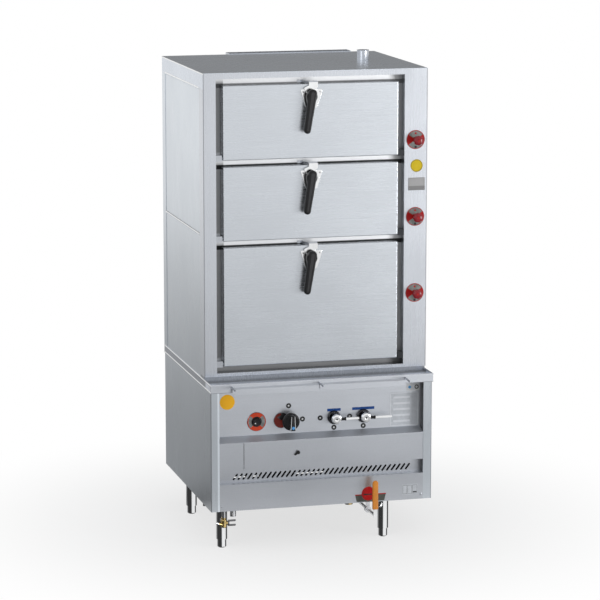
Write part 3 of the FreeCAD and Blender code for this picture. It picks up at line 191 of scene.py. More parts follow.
class Tree:
    """Short calls for building a material or world out of nodes."""

    def __init__(self, tree):
        self.tree = tree

    def feed(self, socket, value):
        """Links an input to another node, or sets its value."""
        if isinstance(value, bpy.types.NodeSocket):
            self.tree.links.new(value, socket)
        else:
            socket.default_value = value

    def add(self, kind, inputs=None, **settings):
        """Adds a node, sets its options, and links or fills its inputs."""
        node = self.tree.nodes.new(kind)
        for key, value in settings.items():
            setattr(node, key, value)
        for key, value in (inputs or {}).items():
            self.feed(node.inputs[key], value)
        return node

    def math(self, operation, a, b):
        """Two values joined by an operation."""
        return self.add("ShaderNodeMath", {0: a, 1: b}, operation=operation).outputs[0]

    def plus(self, a, b):
        """The sum of two values."""
        return self.math("ADD", a, b)

    def times(self, a, b):
        """The product of two values."""
        return self.math("MULTIPLY", a, b)

    def spread(self, value, low, high, to_low=0.0, to_high=1.0, kind="LINEAR"):
        """A value mapped from one range to another and held there."""
        node = self.add("ShaderNodeMapRange", {0: value, 1: low, 2: high, 3: to_low, 4: to_high},
                        interpolation_type=kind, clamp=True)
        return node.outputs[0]

    def around(self, noise, reach, middle=0.0):
        """Noise mapped evenly to both sides of a middle value."""
        return self.spread(noise, 0.3, 0.7, middle - reach, middle + reach)

    def blend(self, factor, a, b, kind="MIX"):
        """Two colours mixed by a factor."""
        node = self.add("ShaderNodeMix", {0: factor, 6: a, 7: b}, data_type="RGBA", blend_type=kind,
                        clamp_factor=True)
        return node.outputs[2]

    def mixed(self, factor, a, b):
        """Two shaders mixed by a factor."""
        return self.add("ShaderNodeMixShader", {0: factor, 1: a, 2: b}).outputs[0]

    def glow(self, level):
        """A shader that shines evenly at a grey level."""
        return self.add("ShaderNodeEmission", {"Color": (level, level, level, 1), "Strength": 1.0}).outputs[0]


class Finish(Tree):
    """A material with one Principled shader, kept under its name."""

    def __init__(self, name, **constants):
        self.material = bpy.data.materials.new(name)
        self.material.use_nodes = True
        super().__init__(self.material.node_tree)
        self.tree.nodes.clear()
        self.shader = self.add("ShaderNodeBsdfPrincipled")
        for key, value in constants.items():
            self.shader.inputs[key.replace("_", " ").title().replace("Ior", "IOR")].default_value = value
        self.out = self.add("ShaderNodeOutputMaterial", {0: self.shader.outputs[0]})
        self.place = self.add("ShaderNodeTexCoord").outputs["Object"]
        FINISHES[name] = self.material

    def surface(self, tone, rough, height=None, strength=0.0, distance=0.0):
        """Feeds colour and roughness to the shader, and a bump where there is a height."""
        self.feed(self.shader.inputs["Base Color"], tone)
        self.feed(self.shader.inputs["Roughness"], rough)
        if height is not None:
            bump = self.add("ShaderNodeBump", {"Strength": strength, "Distance": distance, "Height": height})
            self.feed(self.shader.inputs["Normal"], bump.outputs[0])

    def noise(self, scale, stretch=(1, 1, 1), detail=2.0, roughness=0.5):
        """Noise over stretched object coordinates."""
        mapped = self.add("ShaderNodeMapping", {"Vector": self.place, "Scale": stretch}).outputs[0]
        made = self.add("ShaderNodeTexNoise", {"Vector": mapped, "Scale": scale, "Detail": detail,
                                               "Roughness": roughness}, noise_dimensions="3D")
        return made.outputs[0]

    def gap(self, vector, point):
        """Distance of a vector from a point."""
        node = self.add("ShaderNodeVectorMath", {0: vector, 1: point}, operation="DISTANCE")
        return node.outputs["Value"]

    def zone(self, spans):
        """One inside the spans of X, Y and Z, falling to nothing over their soft edges."""
        split = self.add("ShaderNodeSeparateXYZ", {0: self.place}).outputs
        inside = 1.0
        for value, (low, high, soft) in zip(split, spans):
            soft = max(soft, THINNEST_EDGE)
            if low is not None:
                inside = self.times(inside, self.spread(value, low - soft, low))
            if high is not None:
                inside = self.times(inside, self.spread(value, high, high + soft, 1.0, 0.0))
        return inside

    def fold(self, x, y):
        """One on a vertical fold line, falling to nothing at its reach."""
        flat = self.add("ShaderNodeMapping", {"Vector": self.place, "Scale": (1, 1, 0)}).outputs[0]
        return self.spread(self.gap(flat, (x, y, 0)), 0.3 * FOLD_REACH, FOLD_REACH, 1.0, 0.0)


FINISHES = {}


def rgba(values, share=1.0):
    """A colour made lighter or darker, with full alpha."""
    return (*[min(1.0, v * share) for v in values], 1.0)


def brushed(name, base, roughness, along="x", cloud=0.04, speckle=0.02, zones=(), folds=(), matte=()):
    """Brushed sheet: grain, handling clouds, faint speckle, zones of painted shade and painted light, rougher
    zones, and fold lines darkened as painted shade.
    """
    f = Finish(name, metallic=1.0)
    lines = f.noise(1.0, [4 if axis == along else 620 for axis in "xyz"], 3.0, 0.65)
    clouds = f.noise(2.6, detail=3.0)
    patches = f.noise(11.0, [0.5 if axis == along else 1 for axis in "xyz"])
    points = f.noise(210.0, detail=1.0)
    level = f.plus(f.around(lines, speckle), f.around(clouds, cloud))
    level = f.plus(f.plus(level, f.around(points, speckle)), 0.5)
    tone = f.blend(level, rgba(base, 0.62), rgba(base, 1.38))
    # Painted shade and painted light: each zone multiplies the tone by its share, below one for shade, above
    # one for light.
    for spans, share in zones:
        tone = f.blend(f.zone(spans), tone, (share, share, share, 1), "MULTIPLY")
    # Painted shade: a dark line along each vertical fold at the front corners.
    for x, y in folds:
        tone = f.blend(f.fold(x, y), tone, (0.45, 0.45, 0.46, 1), "MULTIPLY")
    rough = f.plus(f.around(lines, 0.02, roughness), f.spread(patches, 0.35, 0.65, -0.012, 0.012))
    for spans, extra in matte:
        rough = f.plus(rough, f.times(f.zone(spans), extra))
    f.surface(tone, rough, lines, bpy.context.scene.steamer_finishes.grain, 0.0004)


def polished(name, base, roughness, scratch=0.04):
    """Polished or plated metal with faint smears and hair scratches."""
    f = Finish(name, metallic=1.0)
    smear = f.noise(34.0, (1, 1, 0.35), 3.0)
    hair = f.noise(1.0, (900, 900, 60), 2.0, 0.7)
    tone = f.blend(f.spread(smear, 0.3, 0.7), rgba(base, 0.94), rgba(base, 1.04))
    f.surface(tone, f.plus(f.spread(smear, 0.3, 0.7, roughness, roughness + scratch),
                           f.spread(hair, 0.45, 0.7, 0.0, scratch)))


def moulded(name, base, roughness, grit=0.06, coat=0.0, lift=1.35, shine=0.5):
    """Moulded plastic with a fine skin texture and rubbed patches."""
    f = Finish(name, coat_weight=coat, coat_roughness=0.08, specular_ior_level=shine)
    rub = f.noise(46.0, detail=3.0)
    tone = f.blend(f.spread(rub, 0.35, 0.7), rgba(base), rgba(base, lift))
    f.surface(tone, f.spread(rub, 0.3, 0.7, roughness - 0.04, roughness + 0.08),
              f.noise(1900.0, detail=1.0), grit, 0.0002)


def printed(name, base, roughness, fade):
    """Printed or enamelled film: even colour with slight fading and rubbing."""
    f = Finish(name, specular_ior_level=0.2)
    points = f.noise(700.0, detail=1.0)
    level = f.times(f.spread(f.noise(60.0, detail=3.0), 0.3, 0.75), f.spread(points, 0.2, 0.8, 0.5, 1.0))
    faded = rgba([v * (1.0 + fade) + 0.1 * fade for v in base])
    f.surface(f.blend(level, rgba(base), faded), f.around(points, 0.05, roughness))


def cast(name, base):
    """Rough casting with pits and burnt patches."""
    f = Finish(name, metallic=0.6)
    pits = f.noise(420.0, detail=3.0)
    tone = f.blend(f.spread(f.noise(14.0, detail=3.0), 0.35, 0.65), rgba(base, 0.7), rgba(base, 1.5))
    f.surface(tone, f.around(pits, 0.1, 0.7), pits, 0.5, 0.0006)


def wool(name):
    """Pressed mineral wool with crossing fibres."""
    f = Finish(name, specular_ior_level=0.1)
    level = f.times(f.noise(1.0, (700, 60, 700), 3.0), f.noise(1.0, (60, 700, 60), 3.0))
    tone = f.blend(f.spread(level, 0.15, 0.4), (0.3, 0.26, 0.16, 1), (0.62, 0.57, 0.42, 1))
    f.surface(tone, 0.95, level, 0.8, 0.002)


def rubber(name, base):
    """Matt silicone with a faint bloom of dust."""
    f = Finish(name, specular_ior_level=0.35)
    dust = f.noise(90.0, detail=3.0)
    tone = f.blend(f.spread(dust, 0.4, 0.75), rgba(base), rgba(base, 2.0))
    f.surface(tone, f.around(dust, 0.1, 0.7), f.noise(1200.0, detail=1.0), 0.2, 0.0002)


def two_metals(name, base, other, near, roughness):
    """Satin metal that turns into another metal within some radius of some points, where pieces join."""
    f = Finish(name, metallic=1.0)
    share = 0.0
    for point, radius in near:
        share = f.math("MAXIMUM", share, f.spread(f.gap(f.place, point), radius, radius + 0.0008, 1.0, 0.0))
    smear = f.noise(60.0, detail=3.0)
    worn = f.spread(smear, 0.3, 0.7)
    first = f.blend(worn, rgba(base, 0.8), rgba(base, 1.1))
    second = f.blend(worn, rgba(other, 0.75), rgba(other, 1.15))
    rough = f.plus(f.spread(smear, 0.3, 0.7, roughness - 0.08, roughness + 0.1),
                   f.spread(f.noise(1.0, (300, 300, 1500)), 0.3, 0.7, 0.0, 0.06))
    f.surface(f.blend(share, first, second), rough)


# Mesh making

class Shape:
    """A mesh in the making, with one material index for what is being added."""

    def __init__(self):
        self.mesh = bmesh.new()
        self.index = 0

    def ring(self, points):
        """One closed row of vertices."""
        return [self.mesh.verts.new(Vector(p)) for p in points]

    def face(self, verts):
        """One polygon with the present material."""
        made = self.mesh.faces.new(verts)
        made.material_index = self.index
        made.smooth = True

    def skin(self, a, b):
        """Quads between two rings of the same length."""
        for i, j in zip(range(len(a)), [*range(1, len(a)), 0]):
            self.face((a[i], a[j], b[j], b[i]))

    def layers(self, rings, first=True, last=True):
        """Rings joined one after the other, with flat ends where asked for."""
        made = [self.ring(points) for points in rings]
        for a, b in zip(made, made[1:]):
            self.skin(a, b)
        if first:
            self.face(list(reversed(made[0])))
        if last:
            self.face(made[-1])
        return made

    def turned(self, centre, profile, count=48, first=True, last=True, scallop=None):
        """A turned form about an axis that runs from front to back; the profile has radius and Y."""
        x, z = centre
        rings = []
        for radius, y in profile:
            points = []
            for i in range(count):
                a = 2 * math.pi * i / count
                r = radius - (scallop(a, y) if scallop else 0.0)
                points.append((x + r * math.cos(a), y, z + r * math.sin(a)))
            rings.append(points)
        self.layers(rings, first, last)

    def disc(self, centre, radius, back, front, drop, edge, count=64):
        """A thin disc whose edge falls back by drop over its outermost part."""
        profile = [(radius, back), (radius, front + drop), (radius - edge, front)]
        self.turned(centre, profile, count, first=False)

    def sector(self, centre, inner, outer, start, end, y, height, count=24):
        """A flat printed piece of a ring, standing proud towards the front."""
        x, z = centre
        steps = [math.radians(start + (end - start) * i / count) for i in range(count + 1)]
        near = [(x + outer * math.cos(a), z + outer * math.sin(a)) for a in steps]
        far = [(x + inner * math.cos(a), z + inner * math.sin(a)) for a in reversed(steps)]
        self.sheet(near + far, y, y - height)

    def sheet(self, outline, back, front, bevel=0.0):
        """A flat outline in X and Z from the back plane to the front plane, its front edge bevelled."""
        rows = [[(x, back, z) for x, z in outline], [(x, front + bevel, z) for x, z in outline]]
        if bevel:
            rows.append([(x, front, z) for x, z in inset(outline, bevel)])
        self.layers(rows)

    def label(self, box, corner, back, front, bevel=0.0, steps=5):
        """A sheet over a box with round corners."""
        self.sheet(rounded_rectangle(box, corner, steps), back, front, bevel)

    def outline(self, box, corner, width, back, front):
        """A thin printed line along the edge of a box with round corners."""
        outer = rounded_rectangle(box, corner)
        inner = inset(outer, width)
        rows = [self.ring([(x, y, z) for x, z in line])
                for line, y in ((outer, back), (outer, front), (inner, front), (inner, back))]
        for a, b in zip(rows, rows[1:]):
            self.skin(a, b)

    def bead(self, x, proud, level, height, front, back, count=10):
        """A half-round bead along a side, standing out by proud."""
        turns = [math.pi * i / count for i in range(count + 1)]
        self.layers([[(x + proud * math.sin(a), y, level + height / 2 * math.cos(a)) for a in turns]
                     for y in (front, back)])

    def piece(self, name, body, finishes, replaces=(), sharp=32.0):
        """Ends the mesh and makes the object, which rides on a body of the frame."""
        bmesh.ops.recalc_face_normals(self.mesh, faces=self.mesh.faces)
        data = bpy.data.meshes.new(name)
        self.mesh.to_mesh(data)
        self.mesh.free()
        data.set_sharp_from_angle(angle=math.radians(sharp))
        for finish in finishes:
            data.materials.append(FINISHES[finish])
        made = bpy.data.objects.new(name, data)
        bpy.context.scene.collection.objects.link(made)
        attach(made, body)
        if replaces:
            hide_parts(*replaces)

    def plate(self, name, *finishes):
        """Ends a plain plate or film, one of those that replace the blank plates."""
        self.piece(name, "cabinet", finishes, ["blank_plates"])


def inset(outline, distance):
    """The outline moved inwards by a distance, corner by corner."""
    area = sum(a[0] * b[1] - b[0] * a[1] for a, b in zip(outline, outline[1:] + outline[:1]))
    sign = 1 if area > 0 else -1
    moved = []
    for i, (x, z) in enumerate(outline):
        before = Vector((x - outline[i - 1][0], z - outline[i - 1][1])).normalized()
        following = outline[(i + 1) % len(outline)]
        after = Vector((following[0] - x, following[1] - z)).normalized()
        n1, n2 = Vector((-before.y, before.x)), Vector((-after.y, after.x))
        way = n1 + n2
        if way.length < 1e-6:
            moved.append((x + sign * n1.x * distance, z + sign * n1.y * distance))
            continue
        way.normalize()
        reach = sign * distance / max(SHARPEST_MITRE, way.dot(n1))
        moved.append((x + way.x * reach, z + way.y * reach))
    return moved


def box_round(x, z, width, height):
    """A box given by its middle and its half sizes."""
    return x - width, x + width, z - height, z + height


def rectangle(x0, x1, z0, z1):
    """Outline of a box, anticlockwise."""
    return [(x0, z0), (x1, z0), (x1, z1), (x0, z1)]


def rounded_rectangle(box, radius, steps=5):
    """Outline of a box x0, x1, z0, z1 with round corners, anticlockwise."""
    x0, x1, z0, z1 = box
    points = []
    for x, z, start in ((x1 - radius, z1 - radius, 0), (x0 + radius, z1 - radius, 90),
                        (x0 + radius, z0 + radius, 180), (x1 - radius, z0 + radius, 270)):
        for i in range(steps + 1):
            a = math.radians(start + 90 * i / steps)
            points.append((x + radius * math.cos(a), z + radius * math.sin(a)))
    return points


def stadium(x0, z0, r0, x1, z1, r1, drawn_in, y, steps=14):
    """One anticlockwise ring of a tapered bar with two round ends, drawn in by a distance."""
    r0, r1 = r0 - drawn_in, r1 - drawn_in
    way = Vector((x1 - x0, z1 - z0))
    heading = math.atan2(way.y, way.x)
    lean = math.acos(max(-1.0, min(1.0, (r0 - r1) / way.length)))
    points = []
    for (x, z, r), start, end in (((x1, z1, r1), heading - lean, heading + lean),
                                  ((x0, z0, r0), heading + lean, heading - lean + 2 * math.pi)):
        for i in range(steps + 1):
            a = start + (end - start) * i / steps
            points.append((x + r * math.cos(a), y, z + r * math.sin(a)))
    return points


# Zones of the sheets; a span has a lowest and a highest value, None where it is open, and a soft edge

OPEN = (None, None, 0)


def part(share, x=OPEN, y=OPEN, z=OPEN):
    """A zone of a sheet, with the share of its tone or the roughness that it adds."""
    return (x, y, z), share


def frame_zones():
    """Shaded parts of the face frame: the plinth in the shadow gap and the turned-in reveals."""
    low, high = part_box("sealing_frame")
    gap_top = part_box("drip_tray")[1].z + 0.01
    return [part(0.55, y=(STILE_Y + 0.006, None, 0.001), z=(None, gap_top - 0.001, 0.001)),
            part(0.42, (low.x, high.x, 0.001), (STILE_Y + 0.015, low.y, 0.012), (gap_top, high.z, 0.001))]


def side_zones():
    """Painted shade darkening the lower half, a painted highlight on the edge of the left post, and painted
    shade on the inner faces of both posts.
    """
    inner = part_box("vent_strip")[1].x
    edge = 0.003
    zones = [part(0.86, z=(None, 1.0, 0.7)),
             part(1.5, (-inner - 0.007, -inner + 0.001, 0.001), (None, BASE_Y + 0.002, 0.001))]
    for x in (-inner, inner):
        zones.append(part(0.1, (x - edge, x + edge, 0), (BASE_Y + 0.008, PANEL_Y + edge, 0.004)))
    return zones


def tray_zones(top):
    """Painted light on the gutter of the drip tray and painted shade at its back, and the fascia in front
    darker.
    """
    return [part(1.45, y=(TRAY_Y + 0.02, None, 0.02), z=(None, top - 0.003, 0.001)),
            part(0.86, y=(None, TRAY_Y + 0.004, 0.001), z=(None, top - 0.004, 0.001)),
            part(0.5, y=(STILE_Y - 0.004, None, 0.02), z=(None, top - 0.003, 0.001))]


def seal_zones():
    """Shaded strips of the sealing frame beside and over each door, and under the lowest one."""
    zones = []
    for deck in DECKS:
        low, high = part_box("door_" + deck)
        zones += [part(0.29, (None, low.x + 0.030, 0), z=(low.z + 0.03, high.z + 0.004, 0.02)),
                  part(0.35 if deck == "top" else 0.07, z=(high.z - 0.01, high.z + 0.0045, 0.002))]
    return zones + [part(0.4, (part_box("door_top")[1].x - 0.02, None, 0.03)),
                    part(0.3, z=(None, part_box("door_bottom")[0].z, 0.002))]


def plate_place():
    """Centre of the data plate on the right stile."""
    high, low = axis_of("steam_turn_top"), axis_of("steam_turn_middle")
    return Vector((high.x + 0.005, STILE_Y, low.z + 0.424 * (high.z - low.z)))


def dress(rows):
    """Gives each node of the frame its material through its slots."""
    for finish, nodes in rows.items():
        for node in nodes:
            target = frame["nodes"][node]
            if not target.material_slots:
                target.data.materials.append(FINISHES[finish])
            for slot in target.material_slots:
                slot.material = FINISHES[finish]


def for_decks(name):
    """The names of a node of all three decks."""
    return [name + deck for deck in DECKS]


# Operators

class STEAMER_OT_mix_finishes(bpy.types.Operator):
    """Mix every finish that the cabinet uses"""
    bl_idname = "steamer.mix_finishes"
    bl_label = "Mix Finishes"

    def execute(self, context):
        f = context.scene.steamer_finishes
        rough = f.sheet_roughness
        drain, cock = axis_of("drain_turn"), axis_of("cock_turning")
        corners = {node: [(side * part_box(node)[1].x, y) for side in (-1, 1)]
                   for node, y in (("face_frame", STILE_Y), ("base_side_right", BASE_Y))}
        tray_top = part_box("drip_tray")[1].z
        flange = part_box("door_top")[0]
        sill = (None, PANEL_Y - 0.0015, 0.001)

        def sheet(share):
            """The sheet colour, made lighter or darker."""
            return [v * share for v in f.sheet]

        # Painted shade along the front corner folds of the face frame and the base sides.
        brushed("face sheet", sheet(0.96), rough, "z", zones=frame_zones(), folds=corners["face_frame"])
        brushed("side sheet", f.side, rough + 0.02, "z", zones=side_zones(), folds=corners["base_side_right"])
        brushed("roof sheet", f.roof, rough)
        # Painted shade: the base sheet is darker towards the bottom.
        brushed("base sheet", sheet(0.97), rough + 0.04,
                zones=[part(0.84, z=(None, BASE_Z + 0.12, 0.2))])
        # Painted shade: the sloping sill is darkened; it is also made rougher.
        brushed("panel sheet", sheet(0.98), rough + 0.04, zones=[part(0.84, y=sill)],
                matte=[part(0.3, y=sill)])
        brushed("tray sheet", f.sheet, rough, zones=tray_zones(tray_top),
                matte=[part(0.16, z=(None, tray_top - 0.004, 0.002))])
        # Painted shade: the left side face of each door is darkened.
        brushed("door sheet", f.door, rough,
                zones=[part(0.3, (None, flange.x + 0.001, 0), (flange.y + 0.003, None, 0.002))])
        # Painted light: the sealing frame takes the sheet made brighter for its lit crossbars; its zones are
        # painted shade beside, over and under the doors.
        brushed("seal sheet", sheet(1.3), 0.36, cloud=0.06, zones=seal_zones())
        # Painted shade: the hinge brackets take a darker copy of the sheet, nearly black on the right side,
        # where they sit in the shaded recess.
        brushed("bracket sheet", sheet(0.8), rough, speckle=0.05,
                zones=[part(0.1, (0.1, None, 0.05))])
        brushed("data sheet", (0.27, 0.268, 0.27), 0.42, cloud=0.16,
                zones=[part(0.62, z=(None, plate_place().z - 0.009, 0.002))])
        for name, base, roughness, along, cloud in (
                ("liner sheet", f.liner, rough + 0.08, "x", 0.09),
                ("flue sheet", sheet(0.9), rough + 0.06, "z", 0.1),
                ("floor sheet", sheet(0.5), rough + 0.1, "y", 0.1),
                ("tank sheet", sheet(0.6), rough, "x", 0.08),
                ("wire", sheet(0.95), 0.28, "x", 0.06),
                ("pipe", sheet(0.95), 0.3, "z", 0.06),
                ("plate", (0.30, 0.30, 0.31), 0.42, "x", 0.08),
                ("lever bar", (0.86, 0.88, 0.9), 0.5, "x", 0.04)):
            brushed(name, base, roughness, along, cloud)
        for name, base, roughness, scratch in (
                ("bright", f.bright, 0.1, 0.04),
                ("leg", f.bright, 0.06, 0.03),
                # Painted highlight: the beads take the bright polished metal, lighter than the sheet they are
                # rolled from.
                ("bead", f.bright, 0.2, 0.05),
                ("screw", [v * 0.8 for v in f.bright], 0.22, 0.04),
                ("dark metal", (0.2, 0.2, 0.21), 0.25, 0.04),
                ("brass", f.brass, 0.22, 0.08)):
            polished(name, base, roughness, scratch)
        for name, base, roughness, fade in (
                # Painted shadow: the gas plate's red is a darker copy of the orange-red bezel red, for the
                # knob's shadow.
                ("gas red in painted shadow", (0.2, 0.024, 0.016), 0.35, 0.2),
                ("ring red", f.ring_red, 0.3, 0.06),
                ("bezel red", (0.56, 0.055, 0.018), 0.35, 0.08),
                ("dial grey", (0.15, 0.16, 0.155), 0.3, 0.9),
                ("print dark", (0.03, 0.03, 0.032), 0.4, 0.06),
                ("print grey", (0.16, 0.165, 0.16), 0.45, 0.12),
                ("band grey", (0.085, 0.09, 0.078), 0.5, 0.1),
                ("print white", (0.72, 0.73, 0.74), 0.4, 0.02),
                ("blue", f.blue, 0.35, 0.06),
                ("orange disc", f.disc_orange, 0.3, 0.05),
                ("yellow", f.yellow, 0.35, 0.06),
                ("film", (0.5, 0.525, 0.56), 0.28, 0.2),
                ("film line", (0.66, 0.68, 0.72), 0.35, 0.1),
                ("film blue", (0.09, 0.3, 0.56), 0.35, 0.25)):
            printed(name, base, roughness, fade)
        moulded("black", f.black, 0.34, shine=0.2)
        moulded("black face", [v * 2.4 for v in f.black], 0.5, 0.1, shine=0.3)
        moulded("red", f.red, 0.22, 0.02, 0.25, 1.2, 0.3)
        moulded("dot blue", (0.06, 0.28, 0.6), 0.3, 0.02, 0.3)
        moulded("orange sleeve", f.orange, 0.5, 0.22, 0.0, 1.15)
        rubber("seal", (0.05, 0.05, 0.05))
        wool("wool")
        cast("iron", (0.05, 0.05, 0.052))
        # Painted dark reflection: the plated collars round the tap necks take a near-black metal in place of
        # their plating.
        necks = [(axis_of("tap_turn_" + side) + Vector((0, -0.01, 0)), 0.032) for side in ("left", "right")]
        two_metals("valves", f.brass, (0.05, 0.05, 0.055), necks, 0.2)
        two_metals("fittings", (0.62, 0.63, 0.65), f.brass,
                   [(cock + Vector((0, 0, 0.002)), 0.0215), (cock + Vector((0, 0, -0.012)), 0.0175),
                    (Vector((drain.x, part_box("drain_rod")[1].y, drain.z)), 0.05)], 0.18)
        return {"FINISHED"}


class STEAMER_OT_dress_sheets(bpy.types.Operator):
    """Give the cabinet, doors, tray and base their brushed sheet"""
    bl_idname = "steamer.dress_sheets"
    bl_label = "Sheet Metal"

    def execute(self, context):
        dress({
            "face sheet": ["face_frame"],
            "side sheet": ["upper_side_left", "upper_side_right", "rear_skins", "base_side_left",
                           "base_side_right"],
            "roof sheet": ["roof_panel"],
            "tray sheet": ["drip_tray"],
            "panel sheet": ["control_panel"],
            "base sheet": ["front_covers", "vent_strip"],
            "door sheet": for_decks("door_"),
            "flue sheet": ["flue_duct"],
            "floor sheet": ["base_floor"],
            "pipe": ["roof_vent_pipe"],
        })
        return {"FINISHED"}


class STEAMER_OT_dress_inside(bpy.types.Operator):
    """Finish the decks, racks, seals, insulation, tank and burners"""
    bl_idname = "steamer.dress_inside"
    bl_label = "Inside"

    def execute(self, context):
        dress({
            "seal sheet": ["sealing_frame"],
            "liner sheet": for_decks("deck_liner_"),
            "seal": for_decks("gasket_"),
            "wire": ["deck_racks"],
            "wool": ["insulation"],
            "tank sheet": ["water_tank"],
            "iron": ["gas_burners"],
            "pipe": ["steam_pipes"],
        })
        return {"FINISHED"}


class STEAMER_OT_dress_fittings(bpy.types.Operator):
    """Finish hinges, latch plates, valves, drain parts, legs and screws"""
    bl_idname = "steamer.dress_fittings"
    bl_label = "Fittings"

    def execute(self, context):
        dress({
            "bracket sheet": ["door_hardware"],
            "bright": for_decks("latch_plate_") + for_decks("latch_tongue_") + ["drain_rod"],
            "valves": ["valve_bodies"],
            "fittings": ["under_fittings"],
            "black": ["panel_catch"],
            "dark metal": ["cock_handle"],
            "leg": ["leg_tubes", "foot_front_left", "foot_front_right", "foot_rear_left", "foot_rear_right"],
            "base sheet": ["panel_screws"],
        })
        return {"FINISHED"}


class STEAMER_OT_build_edge_beads(bpy.types.Operator):
    """Build the rolled beads of the roof and the drip tray, and the seams across the sides"""
    bl_idname = "steamer.build_edge_beads"
    bl_label = "Edge Beads"

    def execute(self, context):
        sizes = context.scene.steamer_controls
        height, proud = sizes.bead_height, sizes.bead_proud
        roof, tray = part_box("roof_panel"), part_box("drip_tray")
        seam_y = STILE_Y + SEAM_SETBACK
        rows = {
            "side_seams": (seam_y, seam_y + SEAM_LENGTH, SEAM_LEVELS),
            "roof_beads": (roof[0].y, roof[1].y, (roof[1].z - height / 2,)),
            "tray_beads": (TRAY_Y, tray[1].y, (tray[1].z - height / 2, tray[1].z - TRAY_HEIGHT + height / 2)),
        }
        for name, (front, back, levels) in rows.items():
            s = Shape()
            for x in (roof[0].x, roof[1].x):
                for level in levels:
                    s.bead(x, math.copysign(proud, x), level, height, front, back)
            # Bright metal on the beads and seams: painted highlight along them.
            s.piece(name, "cabinet", ["bead"])
        return {"FINISHED"}


class STEAMER_OT_build_levers(bpy.types.Operator):
    """Build the black latch levers with their bevelled border, neck and screws"""
    bl_idname = "steamer.build_levers"
    bl_label = "Latch Levers"

    def execute(self, context):
        sizes = context.scene.steamer_controls
        border, recess = sizes.lever_border, sizes.lever_recess
        edge = (*LEVER_EDGE, (border + 0.003, 0.0), (border + 0.0042, recess))
        for deck in DECKS:
            pivot = axis_of("latch_turn_" + deck)
            low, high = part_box("latch_lever_" + deck)
            front, back, under = low.y, high.y, low.y + LEVER_THICKNESS
            reach = pivot.z - low.z - LEVER_FOOT
            bar = (pivot.x, pivot.z, high.z - pivot.z,
                   pivot.x - reach * math.tan(LEVER_LEAN), pivot.z - reach, LEVER_FOOT)
            s = Shape()
            rings = s.layers([stadium(*bar, drawn_in, front + y) for drawn_in, y in edge], last=False)
            s.index = 1
            s.face(rings[-1])
            s.index = 0
            (x0, z0), (x1, z1) = [(pivot.x - d * math.sin(LEVER_LEAN), pivot.z - d * math.cos(LEVER_LEAN))
                                  for d in NECK_REACH]
            neck = ((0.001, front + LEVER_THICKNESS / 2), (0.0, back - 0.004), (0.0006, back - 0.001),
                    (0.0022, back))
            s.layers([stadium(x0, z0, NECK_RADII[0], x1, z1, NECK_RADII[1], d, y) for d, y in neck])
            s.index = 2
            for dx, dz in ((-0.017, -0.004), (-0.0165, -0.020)):
                s.turned((pivot.x + dx, pivot.z + dz),
                         [(0.0026, back - 0.007), (0.0026, under - 0.0004), (0.0019, under - 0.0012)], 16)
            s.piece("lever_" + deck, "latch_body_" + deck, ["black", "black face", "screw"],
                    ["latch_lever_" + deck])
        return {"FINISHED"}


class STEAMER_OT_build_plate_screws(bpy.types.Operator):
    """Build the three cross-slotted screws of each latch plate, flush under the turning tongue"""
    bl_idname = "steamer.build_plate_screws"
    bl_label = "Latch Plate Screws"

    def execute(self, context):
        for deck in DECKS:
            low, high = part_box("latch_plate_" + deck)
            s = Shape()
            for centre in ((low.x + 0.010, high.z - 0.010), (high.x - 0.010, high.z - 0.010),
                           ((low.x + high.x) / 2, low.z + 0.009)):
                add_screw(s, centre, low.y)
            s.piece("plate_screws_" + deck, "door_body_" + deck, ["screw", "print dark"])
        return {"FINISHED"}


def add_screw(s, centre, seat):
    """A low domed screw head with a cross slot, on a plane that faces the front."""
    r, rise = SCREW_RADIUS, SCREW_RISE
    s.index = 0
    s.turned(centre, [(r, seat), (r, seat - rise * 0.4), (r * 0.82, seat - rise * 0.85),
                      (r * 0.4, seat - rise)], 20, first=False)
    # Painted shade: the cross slot is a dark sheet standing on the head, not a cut.
    s.index = 1
    long, short = r * 0.52, r * 0.13
    for half in ((long, short), (short, long)):
        s.sheet(rectangle(*box_round(*centre, *half)), seat - rise * 0.6, seat - rise * 1.03)


class STEAMER_OT_build_dials(bpy.types.Operator):
    """Build the round steam dials with their red ring, grey windows and marks"""
    bl_idname = "steamer.build_dials"
    bl_label = "Steam Dials"

    def execute(self, context):
        sizes = context.scene.steamer_controls
        rise = sizes.print_height
        front = STILE_Y - 0.002
        radius, hole = 0.0375, 0.006
        ring = radius - sizes.ring_width
        for deck in DECKS:
            x, _, z = axis_of("steam_turn_" + deck)
            centre = (x, z)
            s = Shape()
            s.turned(centre, [(hole, STILE_Y), (radius, STILE_Y), (radius, front + 0.0005),
                              (radius - 0.0005, front), (hole, front)], 72, first=False, last=False)
            s.index = 1
            s.sector(centre, ring, radius - 0.0007, 0, 360, front, rise, 96)
            s.sector(centre, hole, 0.0115, 0, 360, front, rise * 1.5, 48)
            for start in (-34, 146):
                s.sector(centre, 0.0095, ring + 0.0002, start, start + 68, front, rise)
            s.turned((x, z + 0.0245), [(0.0042, front), (0.0042, front - rise * 2)], 24, first=False)
            s.index = 2
            for start in (34, 214):
                s.sector(centre, 0.0105, ring + 0.0002, start, start + 112, front, rise * 0.6, 40)
            s.index = 3
            for k in range(9):
                a = 40 + k * 12.5
                s.sector(centre, 0.0305, 0.0330, a - 0.9, a + 0.9, front, rise * 1.2, 2)
            s.sheet(rectangle(x - 0.0042, x + 0.0042, z - 0.0335, z - 0.0245), front, front - 0.0012, 0.0004)
            s.piece("dial_" + deck, "cabinet", ["plate", "ring red", "dial grey", "print dark"],
                    ["dial_plates"])
        return {"FINISHED"}


